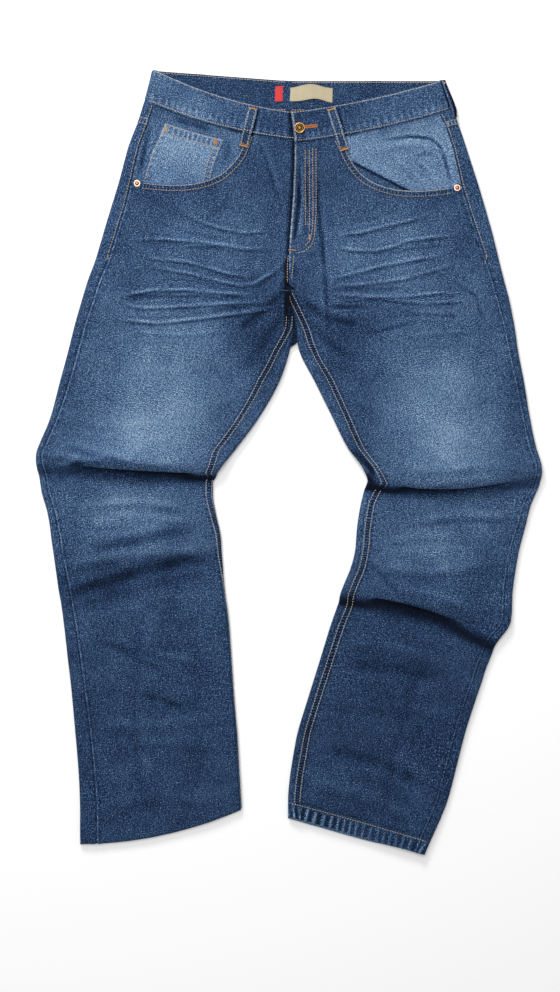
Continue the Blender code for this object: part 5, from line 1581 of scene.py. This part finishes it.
def strip_piece(name, path, up, width, wall, seed):
    """A folded strip along a path of points, with rounded raised edges."""
    cols = 13
    run = np.gradient(path, axis=0)
    run /= np.linalg.norm(run, axis=1, keepdims=True)
    aside = np.cross(run, up)
    aside /= np.linalg.norm(aside, axis=1, keepdims=True)
    spread_to = np.linspace(-1, 1, cols)
    along = np.concatenate([[0], np.cumsum(np.linalg.norm(np.diff(path, axis=0), axis=1))])
    outer = path[:, None] + aside[:, None] * (spread_to * width / 2)[None, :, None]
    away = (1 - abs(spread_to))[None, :] * width / 2
    rope = pucker(along[:, None] * 1.3, away, seed)
    crown = wall + 0.18 * rope - 0.5 * bell(away, 0.7) - 0.25 * bell(away - 2.2, 0.7)
    outer = outer + up[:, None] * crown[..., None]
    lean = np.broadcast_to(up[:, None], outer.shape)
    wash = 0.22 + 0.08 * rope + 0.55 * bell(away - 1.0, 0.9) + 0.04 * np.sin(along[:, None] / 9)
    shape = (len(along), cols)
    down = np.broadcast_to(along[:, None], shape)
    across = np.broadcast_to(spread_to * width / 2, shape)
    worn = (bars(down, 4.4, seed), np.broadcast_to(0.20 * between(away, 1.8, 4.2), shape))
    return cloth_piece(name, outer, lean, crown, across, down + 200 * seed, wash, denim, wash, rope=worn)


def front_loop(name, top, foot, trees, seed):
    """Belt loop laid over the waistband, bulging a little between its tacked ends."""
    top, foot = np.array(top, float), np.array(foot, float)
    run = foot - top
    count = 34
    places = np.linspace(0, 1, count)
    aside = np.array([-run[1], run[0]]) / np.hypot(*run)
    heights = []
    for place in places:
        centre = top + run * place
        spots = [landed(trees, *(centre + aside * w)) for w in (-5, 0, 5)]
        heights.append(max(met[0][2] for met in spots if met is not None))
    widest = [max(heights[max(k - 3, 0) : k + 4]) for k in range(count)]
    settled = np.array([np.mean(widest[max(k - 3, 0) : k + 4]) for k in range(count)])
    bulge = LOOP_BULGE * np.sin(math.pi * places) ** 2
    path = np.stack([top[0] + run[0] * places, top[1] + run[1] * places, settled + 0.05 + bulge], axis=1)
    up = np.broadcast_to(np.array([0, 0, 1.0]), path.shape)
    return strip_piece(name, path, up, LOOP_WIDTH, LOOP_WALL, seed)


cloth_trees = trees_of([front_right, front_left, band, facing_right, facing_left, coin_pocket] + backs)
loop_right = front_loop("belt_loop_front_right_denim", LOOP_RIGHT_TOP, LOOP_RIGHT_FOOT, cloth_trees, 1.0)
loop_left = front_loop("belt_loop_front_left_denim", LOOP_LEFT_TOP, LOOP_LEFT_FOOT, cloth_trees, 2.0)

side_places = np.linspace(-1, 1, 31)
side_ring = np.linspace(1.03, 1.50, 9)
s = np.repeat(side_ring[None, :], len(side_places), axis=0)
share = np.repeat(side_places[:, None], len(side_ring), axis=1)
upper = band_point(left, np.clip(share, 0, 1) * SIDE_LOOP_TOP, s)
lower = left.at(np.clip(-share, 0, 1) * SIDE_LOOP_FOOT, s)
face = np.where((share > 0)[..., None], upper, lower)
lean = grid_normals(face)
if lean[15, 4, 0] < 0:
    lean = -lean
bow = SIDE_BULGE * np.cos(share * math.pi / 2)[..., None] ** 2
side_outer = face + lean * (1.7 * SEAM_GAP + bow + LOOP_WALL)
away = (s - 1.03) * 22
# Pale along its upper edge, and painted with shade where it turns down round the side
side_tone_and_shade = 0.30 + 0.30 * bell(away - 1.0, 1.0) - 1.0 * smooth((away - 2.6) / 1.8)
loop_side = cloth_piece(
    "belt_loop_side_left_denim", side_outer, lean, LOOP_WALL, s * 22, share * 26 + 50,
    side_tone_and_shade, denim, side_tone_and_shade,
)


def band_edge_y(x, share):
    """Where the back of the waistband has its seam, share 0, or upper edge, share 1."""
    leg = left if x > 0 else right
    line = band_point(leg, np.full(60, share), np.linspace(2.05, 3, 60))
    order = np.argsort(line[:, 0])
    return float(np.interp(x, line[order, 0], line[order, 1]))


back_loops = []
for name, loop_x in (("right", -BACK_LOOP_X), ("centre", 0.0), ("left", BACK_LOOP_X)):
    top_y, foot_y = band_edge_y(loop_x, 1.0) - 1.5, band_edge_y(loop_x, 0.0) - 10
    ys = np.linspace(foot_y, top_y, 30)
    bow = 0.5 * np.sin(np.linspace(0, math.pi, 30))
    path = np.stack([np.full(30, loop_x), ys, 1.25 - 0.2 * bow], axis=1)
    up = np.broadcast_to(np.array([0, 0, -1.0]), path.shape)
    word = f"belt_loop_back_{name}_denim"
    back_loops.append(strip_piece(word, path, up, LOOP_WIDTH, 1.1, 3.0 + loop_x / 100))
for piece in (loop_right, loop_left, loop_side):
    settle(piece)
for piece in back_loops:
    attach(piece, "root")

# Size label and side tab. Both are plain woven tape sewn inside the back waistband.
# The label is caught at its two ends, so its middle stands up in a low wave.

LABEL_LENGTH, LABEL_DEPTH = 64.0, 19.0
LABEL_X, LABEL_Y = 29.0, 505.5
TAB_LENGTH, TAB_DEPTH = 12.5, 21.0
TAB_X, TAB_Y = -11.5, 505.5
TAPE_WALL = 0.7


def woven_tape(name, colour, rubbed):
    """Satin tape: fine ribs across, with a soft unevenness and darker sewn ends."""
    made, strand = finish(name)
    cloth = strand.stored("cloth")
    wash = strand.stored("wash", "Fac")
    rib = cloth.stretched(2.6, 0.5).noise(1.0, 2.0)
    cross = cloth.stretched(0.4, 3.2).noise(1.0, 1.0)
    stain = cloth.noise(0.09, 3.0)
    level = wash + (rib - 0.5) * 0.35 + (cross - 0.5) * 0.25 + (stain - 0.5) * 0.30
    tint = strand.node("ShaderNodeValToRGB", {"stops": [(0.0, rubbed), (1.0, colour)]}, {"Fac": level})
    bump = strand.node(
        "ShaderNodeBump", (), {"Strength": 0.4, "Distance": 0.0003, "Height": rib * 0.5 + cross * 0.6}
    )
    values = {"Base Color": tint, "Roughness": 0.7, "Normal": bump, "Sheen Weight": 0.15}
    close(strand, values)
    return made


cream_tape = woven_tape("cream_tape", linear(174, 163, 136), linear(132, 112, 78))
red_tape = woven_tape("red_tape", linear(200, 34, 36), linear(128, 16, 20))


def tape_patch(node, x, y, length, depth, paint, hump, rise, turn):
    """A patch of tape over the inside of the band, raised between its sewn ends."""
    rows, cols = 15, 49
    across = np.repeat(np.linspace(-0.5, 0.5, cols)[None, :], rows, axis=0)
    down = np.repeat(np.linspace(-0.5, 0.5, rows)[:, None], cols, axis=1)
    bulge = np.sin(math.pi * (across + 0.5)) ** 2
    wave = bulge * (1 + 0.25 * np.sin(5 * across + 2 * down))
    px = x + across * length + turn * down * depth
    py = y + down * depth + hump * wave + 1.0 * np.sin(9 * across) * (0.5 - down) * (hump > 0)
    ground = BAND_WALL + 0.45
    pz = ground + TAPE_WALL + rise * wave + 0.15 * np.sin(across * 31) * bulge
    outer = np.stack([px, py, pz], axis=-1)
    lean = grid_normals(outer)
    lean = np.where(lean[..., 2:3] < 0, -lean, lean)
    away = np.minimum((0.5 - abs(across)) * length, (0.5 - abs(down)) * depth)
    wash = 0.85 - 0.35 * bell(away, 0.8) - 0.12 * bell(away - 2.2, 0.8)
    grain = across * length, down * depth
    piece = cloth_piece(f"{node}_tape", outer, lean, TAPE_WALL, *grain, wash, paint, 0.6)
    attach(piece, "root")
    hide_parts(node)
    return piece


label_place = (LABEL_X, LABEL_Y - 1.5, LABEL_LENGTH, LABEL_DEPTH)
size_label = tape_patch("size_label", *label_place, cream_tape, 4.0, 2.2, 0.02)
side_tab = tape_patch("side_tab", TAB_X, TAB_Y, TAB_LENGTH, TAB_DEPTH, red_tape, 0.0, 0.5, 0.05)

# Sewing. The seams are top-stitched with thick thread, tan on the long seams and
# orange where it is new. Every stitch is its own short raised length of thread.

STITCH_PITCH = 3.6
STITCH_LENGTH = 2.5
THREAD = 0.9
Stitch = namedtuple("Stitch", "middle forward up length thick tone")


def thread_paint():
    """Twisted cotton thread, from faded cream to strong orange."""
    made, strand = finish("thread")
    tone = strand.stored("wash", "Fac")
    twist = strand.stored("cloth")
    lay = twist.part(0)
    turn = twist.part(1)
    ply = (lay * 7.0 + turn * 12.566).wave()
    stops = [
        (0.0, linear(192, 180, 158)),
        (0.35, linear(184, 160, 124)),
        (0.7, linear(184, 138, 84)),
        (1.0, linear(176, 98, 38)),
    ]
    colour = strand.node("ShaderNodeValToRGB", {"stops": stops}, {"Fac": tone + ply * 0.05})
    bump = strand.node("ShaderNodeBump", (), {"Strength": 0.4, "Distance": 0.0002, "Height": ply})
    values = {"Base Color": colour, "Roughness": 0.75, "Normal": bump, "Specular IOR Level": 0.3}
    close(strand, values)
    return made


thread = thread_paint()
spare = np.random.default_rng(7)


def row_of(path, up, tone, pitch=STITCH_PITCH, length=STITCH_LENGTH, thick=THREAD):
    """Stitches at even steps along a laid path."""
    path, up = np.array(path), np.array(up)
    steps = np.linalg.norm(np.diff(path, axis=0), axis=1)
    gone = np.concatenate([[0], np.cumsum(steps)])
    found = []
    for k in range(int(gone[-1] / pitch)):
        middle = (k + 0.5) * pitch + spare.uniform(-0.15, 0.15)
        ends = [middle - length / 2, middle + length / 2]
        a, b = (np.array([np.interp(e, gone, path[:, c]) for c in range(3)]) for e in ends)
        lean = np.array([np.interp(middle, gone, up[:, c]) for c in range(3)])
        forward = b - a
        size = np.linalg.norm(forward)
        if size < 0.4 * length:
            continue
        shade = tone + spare.uniform(-0.14, 0.14)
        found.append(Stitch((a + b) / 2, forward / size, lean, size, thick, shade))
    return found


def sewn(name, stitches):
    """One piece with every stitch as a raised, rounded length of thread."""
    sides, ends = 5, [(-0.5, 0.30, -0.30), (-0.32, 0.95, 0.12), (0.32, 0.95, 0.12), (0.5, 0.30, -0.30)]
    middle = np.array([stitch.middle for stitch in stitches])
    forward = np.array([stitch.forward for stitch in stitches])
    up = np.array([stitch.up for stitch in stitches])
    up = up - forward * np.einsum("ij,ij->i", up, forward)[:, None]
    up /= np.maximum(np.linalg.norm(up, axis=1, keepdims=True), 1e-6)
    aside = np.cross(forward, up)
    length = np.array([stitch.length for stitch in stitches])[:, None]
    thick = np.array([stitch.thick for stitch in stitches])[:, None]
    rings, twist = [], []
    for place, girth, height in ends:
        for k in range(sides):
            angle = 2 * math.pi * k / sides
            round_it = aside * math.cos(angle) + up * math.sin(angle) * 0.8
            centre = middle + forward * length * place + up * thick * height
            rings.append(centre + round_it * thick * girth / 2)
            twist.append([place * STITCH_LENGTH, k / sides, 0])
    points = np.stack(rings, axis=1)
    count, per = points.shape[:2]
    pattern = []
    for r in range(len(ends) - 1):
        for k in range(sides):
            after = (k + 1) % sides
            pattern.append([r * sides + k, r * sides + after, (r + 1) * sides + after, (r + 1) * sides + k])
    caps = [list(range(sides))[::-1], [per - sides + k for k in range(sides)]]
    faces = [[q + base for q in face] for base in range(0, count * per, per) for face in pattern + caps]
    mesh = bpy.data.meshes.new(name)
    mesh.from_pydata((points.reshape(-1, 3) * METRES).tolist(), [], faces)
    store(mesh, "cloth", np.tile(twist, (count, 1)))
    store(mesh, "wash", np.repeat([stitch.tone for stitch in stitches], per))
    mesh.update()
    piece = put(name, mesh, thread)
    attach(piece, "root")
    return piece


def laid(path, trees, from_below=False, step=1.5, ceiling=1e3):
    """A flat path brought down, or up, on to the cloth, where that lies under a ceiling."""
    path = np.array(path, float)
    gone = np.concatenate([[0], np.cumsum(np.hypot(*np.diff(path, axis=0).T))])
    marks = np.linspace(0, gone[-1], max(3, int(gone[-1] / step)))
    points, leans = [], []
    for mark in marks:
        x, y = (np.interp(mark, gone, path[:, axis]) for axis in (0, 1))
        met = landed(trees, x, y, from_below)
        if met is not None and met[0][2] < ceiling:
            points.append(met[0] + met[1] * 0.25)
            leans.append(met[1])
    return points, leans


def beside(path, distance):
    """A flat path moved sideways."""
    path = np.array(path, float)[:, :2]
    run = np.gradient(path, axis=0)
    run /= np.maximum(np.hypot(*run.T)[:, None], 1e-6)
    return path + np.stack([-run[:, 1], run[:, 0]], axis=1) * distance


def wrapped(leg, places, tree_list):
    """A path round a leg by its own places, brought on to the nearest cloth."""
    t = np.array([place[0] for place in places])
    s = np.array([place[1] for place in places])
    base, lean = leg.at(t, s), outward(leg, t, s)
    points, leans = [], []
    for place, way in zip(base, lean):
        best = None
        for tree in tree_list:
            found, _, _, away = tree.find_nearest(Vector((place + way * 1.2) * METRES))
            if found is not None and (best is None or away < best[1]):
                best = (found, away)
        points.append(np.array(best[0]) / METRES + way * 0.25)
        leans.append(way)
    return points, leans


def tack(x, y, angle, length, width, trees, tone=0.85, from_below=False):
    """A bartack: short threads side by side across a line."""
    run = np.array([math.cos(angle), math.sin(angle)])
    aside = np.array([-run[1], run[0]])
    count = max(4, int(length / 0.55))
    found = []
    middle = landed(trees, x, y, from_below)
    for k in range(count):
        place = np.array([x, y]) + run * length * ((k + 0.5) / count - 0.5)
        met = landed(trees, *place, from_below) or middle
        up = np.array([0, 0, -1.0 if from_below else 1.0])
        centre = np.array([place[0], place[1], met[0][2]]) + up * 0.3
        slant = aside + run * 0.15 * (1 if k % 2 else -1)
        forward = np.array([slant[0], slant[1], 0]) / np.hypot(*slant)
        found.append(Stitch(centre, forward, up, width, 0.75, tone + spare.uniform(-0.12, 0.12)))
    return found


def spot(leg, t, s):
    """One point of a leg."""
    return leg.at(np.array([t]), np.array([s]))[0]


facings = [facing_right, facing_left, coin_pocket]
all_cloth = [front_right, front_left, band, *facings, loop_right, loop_left, loop_side]
cloth_trees = trees_of(all_cloth + backs)
leg_trees = {
    right: trees_of([front_right, backs[0], backs[1]]),
    left: trees_of([front_left, backs[2], backs[3]]),
}
panel_trees = trees_of([front_right, front_left] + backs)

# Waistband rows, along both edges and inside the back
band_rows = []
for leg in (right, left):
    for share, tone in ((0.955, 0.14), (0.055, 0.12)):
        flat = band_point(leg, np.full(80, share), np.linspace(0.02, 1.06, 80))
        band_rows += row_of(*laid(flat, cloth_trees), tone)
        flat = band_point(leg, np.full(80, share), np.linspace(2.02, 2.99, 80))
        band_rows += row_of(*laid(flat, trees_of([band]), ceiling=4.5), tone)
        band_rows += row_of(*laid(flat, trees_of([band]), True), tone)
edge = band_point(left, np.linspace(0.06, 0.94, 12), np.full(12, 0.012))
band_rows += row_of(*laid(beside(edge, 0.0), trees_of([band])), 0.3)

# Fly: a row along the edge, two pairs down the facing, short rows at the crotch, and two tacks
fly_rows = []
fly_t = [t for t in np.arange(3, left.crotch_t, 1.5) if spot(left, t, 0.0)[1] > 297]
fly_row = [spot(left, t, left.from_inner(t, 1.9))[:2] for t in fly_t]
for path, tone in (
    (fly_row, 0.30),
    ([(23.3, 428.1), (23.6, 387), (24.1, 321.3)], 0.45),
    ([(29.2, 428.1), (29.2, 387), (29.3, 315.8)], 0.45),
    ([(33.7, 429.5), (34.2, 352.8), (33.7, 321.3), (30.1, 303.5), (20.6, 293.9)], 0.34),
    ([(38.2, 429.5), (38.4, 339.1), (35.9, 307.6), (31.5, 296.6), (23.3, 289.2), (11, 285.6)], 0.34),
    ([(0.4, 284.3), (-0.8, 269.2), (-1.1, 252.8), (0.3, 239.1)], 0.25),
    ([(8.2, 282.9), (6.3, 266.5), (5.1, 250)], 0.30),
):
    fly_rows += row_of(*laid(path, panel_trees), tone)
fly_rows += tack(*(29.2, 308.2), math.radians(88), 7.0, 1.8, panel_trees, 0.55)
fly_rows += tack(*(5.5, 290.6), math.radians(-8), 10.0, 1.8, panel_trees)

# Pocket mouths: two rows round each
pocket_rows = []
for leg, opening in ((right, MOUTH_RIGHT), (left, MOUTH_LEFT)):
    curve = mouth_curve(leg, opening)
    for gap, tone in ((1.5, 0.30), (MOUTH_HEM - 0.4, 0.45)):
        path = beside(curve[2:], -leg.side * gap)
        inside = [p for p in path if (p[0] - curve[-1][0]) * leg.side < -6]
        pocket_rows += row_of(*laid(inside, panel_trees), tone)

# Coin pocket: two rows along its hem, one down each side, and tacks at its corners
coin_trees = trees_of([coin_pocket])
for below, tone in ((1.6, 0.5), (COIN_BAND - 1.2, 0.45)):
    t_row = COIN_TOP + below
    seam = right.column("seam_out", t_row)
    reach = np.linspace(COIN_ASIDE + 2, COIN_ASIDE + COIN_WIDTH - 3, 40) + seam
    flat = [spot(right, t_row, right.from_outer(t_row, r)) for r in reach]
    pocket_rows += row_of(*laid(np.array(flat)[:, :2], coin_trees), tone)
for aside, flare in ((2.0, 0.0), (COIN_WIDTH - 2.0, COIN_FLARE), (COIN_WIDTH - 9.0, COIN_FLARE)):
    flat = []
    for t_row in np.linspace(COIN_TOP + 3, 84, 30):
        edge = right.column("seam_out", t_row) + COIN_ASIDE
        r = edge + (flare - COIN_SLANT) * (t_row - COIN_TOP) + aside
        flat.append(spot(right, t_row, right.from_outer(t_row, r)))
    pocket_rows += row_of(*laid(np.array(flat)[:, :2], coin_trees), 0.4)
for corner, tone in (((-167.8, 456.2), 0.30), ((-99.3, 439.8), 0.75)):
    for k in (-1, 0, 1):
        x, y = corner[0] + 1.7 * k, corner[1] - 0.4 * k
        pocket_rows += tack(x, y, math.radians(76), 8.0, 1.5, coin_trees, tone)

# Outseams to the hip tacks, felled inseams, yoke seams and the hem
seam_rows = []
for leg, trees in leg_trees.items():
    hip = [t for t in np.arange(2, leg.crotch_t, 1.5) if spot(leg, t, 1.0)[1] > 284]
    path = [(t, leg.from_outer(t, leg.column("seam_out", t) - 2.6)) for t in hip]
    seam_rows += row_of(*wrapped(leg, path, trees), 0.16, thick=0.72)
    end = wrapped(leg, [path[-1]], trees)[0][0]
    seam_rows += tack(end[0], end[1] - 3, math.radians(90), 7.0, 1.4, panel_trees, 0.45)
    names = [row.name for row in leg.sections]
    fold = (leg.knots[names.index("knee tuck")] - 2, leg.knots[names.index("knee valley")] + 4)
    bottom = leg.length - (4 if leg.hem_t is None else 20)
    top = leg.crotch_t + (34 if leg.side < 0 else 3)
    for inset_by, tone in ((1.5, 0.10), (8.8, 0.14)):
        for first, last in ((top, fold[0]), (fold[1], bottom)):
            fine = []
            for t in np.arange(first, last, 1.4):
                s = leg.from_inner(t, leg.column("seam_in", t))
                ring = np.linspace(s, max(s - 0.9, -0.95), 90)
                fine.append((t, float(np.interp(inset_by, leg.run(t, ring), ring))))
            seam_rows += row_of(*wrapped(leg, fine, trees), tone, thick=0.72)
    for gap in (-8.0, -1.8):
        t_row = leg.yoke_t + gap
        first = leg.from_outer(t_row, leg.column("seam_out", t_row) - 2)
        path = [(t_row, s) for s in np.linspace(first, 2.99, 160)]
        seam_rows += row_of(*wrapped(leg, path, trees), 0.42)
    if leg.side > 0:
        for gap in (2.0, 8.0):
            flat = [(gap, spot(leg, t, 3.0)[1]) for t in np.arange(4, leg.crotch_t, 2)]
            seam_rows += row_of(*laid(flat, panel_trees, True), 0.4)
hem_t = left.hem_t + 1.5
hem_path = left.at(np.full(160, hem_t), np.linspace(0.0, 1.0, 160))
seam_rows += row_of(*laid(hem_path, leg_trees[left]), 0.25, thick=0.85)
hem_path = left.at(np.full(160, hem_t), np.linspace(2.02, 2.98, 160))
seam_rows += row_of(*laid(hem_path, leg_trees[left], True), 0.55)

# Belt loops: a row near each edge, and a tack across each end
loop_rows = []
for top, foot, piece in (
    (LOOP_RIGHT_TOP, LOOP_RIGHT_FOOT, loop_right),
    (LOOP_LEFT_TOP, LOOP_LEFT_FOOT, loop_left),
):
    trees = trees_of([piece])
    top, foot = np.array(top, float), np.array(foot, float)
    run = (foot - top) / np.hypot(*(foot - top))
    for aside in (-4.2, 4.2):
        flat = beside([top + run * 2, (top + foot) / 2, foot - run * 2], aside)
        loop_rows += row_of(*laid(flat, trees), 0.2)
    angle = math.atan2(run[0], -run[1])
    loop_rows += tack(*(top + run * 2.0), angle, 11.5, 2.0, trees, 0.75)
    loop_rows += tack(*(foot - run * 2.0), angle, 11.5, 2.0, trees, 0.6)
    loop_rows += tack(*(foot - run * 4.4), angle, 11.5, 1.2, trees, 0.9)
loop_rows += tack(*(214.1, 518.5), math.radians(60), 4.0, 1.8, cloth_trees, 0.6)
for piece, loop_x in zip(back_loops, (-BACK_LOOP_X, 0.0, BACK_LOOP_X)):
    trees = trees_of([piece])
    low_y, high_y = band_edge_y(loop_x, 0.0) - 8, band_edge_y(loop_x, 1.0) - 4
    for aside in (-4.2, 4.2):
        flat = [(loop_x + aside, low_y), (loop_x + aside, (low_y + high_y) / 2), (loop_x + aside, high_y)]
        loop_rows += row_of(*laid(flat, trees, True), 0.3)
    for tack_y in (low_y, high_y + 1):
        loop_rows += tack(loop_x, tack_y, 0.0, 11.5, 2.0, trees, 0.8, True)

# Back pockets: two rows round the sides and foot, two along the top
under_rows = []
under_trees = trees_of([bpy.data.objects[f"back_pocket_{word}_denim"] for word in ("right", "left")])
for side in (-1, 1):
    for gap in (2.0, 8.5):
        low, high = pocket_edges(side, 0.0)
        low_foot, high_foot = pocket_edges(side, 1.0)
        middle = (low + high) / 2
        path = [
            (low + gap, POCKET_TOP - 2),
            (low_foot + gap, POCKET_SIDE + 0.7 * gap),
            (middle, POCKET_POINT + 1.1 * gap),
            (high_foot - gap, POCKET_SIDE + 0.7 * gap),
            (high - gap, POCKET_TOP - 2),
        ]
        under_rows += row_of(*laid(path, under_trees, True), 0.45)
    for gap in (2.0, 14.0):
        path = [(low + 3, POCKET_TOP - gap), (high - 3, POCKET_TOP - gap)]
        under_rows += row_of(*laid(path, under_trees, True), 0.45)

# Buttonhole: close bars of thread round the slot beside the button
HOLE_STITCHES = 26
hole_rows = []
slot_start, slot_end = np.array((21.9, 458.7)), np.array((38.8, 460.6))
slot = slot_end - slot_start
slot_aside = np.array([-slot[1], slot[0]]) / np.hypot(*slot)
band_trees = trees_of([band])
for k in range(HOLE_STITCHES):
    for way in (-1, 1):
        place = slot_start + slot * (k + 0.5) / HOLE_STITCHES + slot_aside * way * 1.25
        height = landed(band_trees, *place)[0][2] + 0.25
        forward = np.array([slot_aside[0], slot_aside[1], 0])
        centre = np.array([place[0], place[1], height])
        hole_rows.append(Stitch(centre, forward, np.array([0, 0, 1.0]), 2.3, 0.7, 0.95))
hole_rows += tack(*(39.7, 460.7), math.radians(85), 4.4, 1.4, band_trees, 0.85)

for name, rows in (
    ("waistband", band_rows),
    ("fly", fly_rows),
    ("front_pockets", pocket_rows),
    ("seams", seam_rows),
    ("belt_loops", loop_rows),
    ("back_pockets", under_rows),
    ("buttonhole", hole_rows),
):
    sewn(f"stitching_{name}", rows)

# Button and rivets. The shank button is antique brass with a raised rim and a dished
# middle. The rivets are copper caps hammered over a small nib.

BUTTON_X, BUTTON_Y = 15.9, 457.4
BUTTON_DIAMETER = 14.8
RIVET_DIAMETER = 9.5
RIVET_RIGHT, RIVET_LEFT = (-206.5, 381.5), (231.5, 375.5)


def worn_metal(name, bright, dull, rough):
    """Plated metal, bright where it is rubbed and dark in its hollows."""
    made, strand = finish(name)
    place = strand.node("ShaderNodeTexCoord", output="Object")
    tone = strand.stored("wash", "Fac")
    mottle = place.noise(900.0, 3.0, 0.6)
    level = tone + (mottle - 0.5) * 0.7
    colour = strand.node("ShaderNodeValToRGB", {"stops": [(0.1, dull), (0.9, bright)]}, {"Fac": level})
    bump = strand.node("ShaderNodeBump", (), {"Strength": 0.25, "Distance": 0.0002, "Height": mottle})
    gloss = rough + (mottle - 0.5) * 0.3
    values = {"Base Color": colour, "Metallic": 1.0, "Roughness": gloss, "Normal": bump}
    close(strand, values)
    return made


brass = worn_metal("brass", linear(196, 154, 94), linear(46, 34, 22), 0.42)
copper = worn_metal("copper", linear(236, 192, 164), linear(104, 54, 32), 0.36)


def turned(name, profile, x, y, height, paint, node):
    """A turned piece from (radius, height, brightness) steps, closed at both ends."""
    sides = 48
    points, tones, faces = [], [], []
    for radius, rise, tone in profile:
        for k in range(sides):
            angle = 2 * math.pi * k / sides
            points.append((x + radius * math.cos(angle), y + radius * math.sin(angle), height + rise))
            tones.append(tone)
    for r in range(len(profile) - 1):
        for k in range(sides):
            after = (k + 1) % sides
            faces.append([r * sides + k, r * sides + after, (r + 1) * sides + after, (r + 1) * sides + k])
    faces.append(list(range(sides))[::-1])
    faces.append([(len(profile) - 1) * sides + k for k in range(sides)])
    mesh = bpy.data.meshes.new(name)
    mesh.from_pydata([tuple(c * METRES for c in p) for p in points], [], faces)
    store(mesh, "wash", tones)
    mesh.update()
    piece = put(name, mesh, paint)
    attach(piece, "root")
    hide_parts(node)
    return piece


cap = BUTTON_DIAMETER / 2
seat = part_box("button")[0][2] / METRES - 0.3
button = turned(
    "button_brass",
    [
        (cap * 0.55, 0, 0.1), (cap * 0.6, 0.9, 0.1), (cap * 0.92, 1.0, 0.3), (cap * 0.99, 1.4, 0.6),
        (cap, 1.9, 0.8), (cap * 0.97, 2.4, 1.0), (cap * 0.90, 2.75, 1.0), (cap * 0.82, 2.7, 0.8),
        (cap * 0.76, 2.3, 0.1), (cap * 0.70, 2.05, -0.2), (cap * 0.62, 2.0, -0.2), (cap * 0.58, 2.15, 0.4),
        (cap * 0.54, 2.2, 0.5), (cap * 0.50, 2.05, -0.1), (cap * 0.42, 2.0, -0.2), (cap * 0.30, 2.15, 0.1),
        (cap * 0.22, 2.5, 0.4), (cap * 0.16, 2.6, 0.5), (cap * 0.08, 2.6, 0.3),
    ],
    BUTTON_X, BUTTON_Y, seat + 0.3, brass, "button",
)
cap = RIVET_DIAMETER / 2
for name, (x, y) in (("rivet_right", RIVET_RIGHT), ("rivet_left", RIVET_LEFT)):
    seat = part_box(name)[0][2] / METRES
    profile = [
        (cap * 0.96, 0, 0.2), (cap, 0.4, 0.6), (cap * 0.97, 0.8, 0.9), (cap * 0.88, 1.05, 1.0),
        (cap * 0.76, 1.1, 0.9), (cap * 0.60, 1.0, 0.2), (cap * 0.46, 1.0, -0.1), (cap * 0.40, 1.25, 0.1),
        (cap * 0.36, 1.8, 0.4), (cap * 0.27, 2.05, 0.5), (cap * 0.10, 2.1, 0.3),
    ]
    rivet = turned(f"{name}_copper", profile, x, y, seat, copper, name)
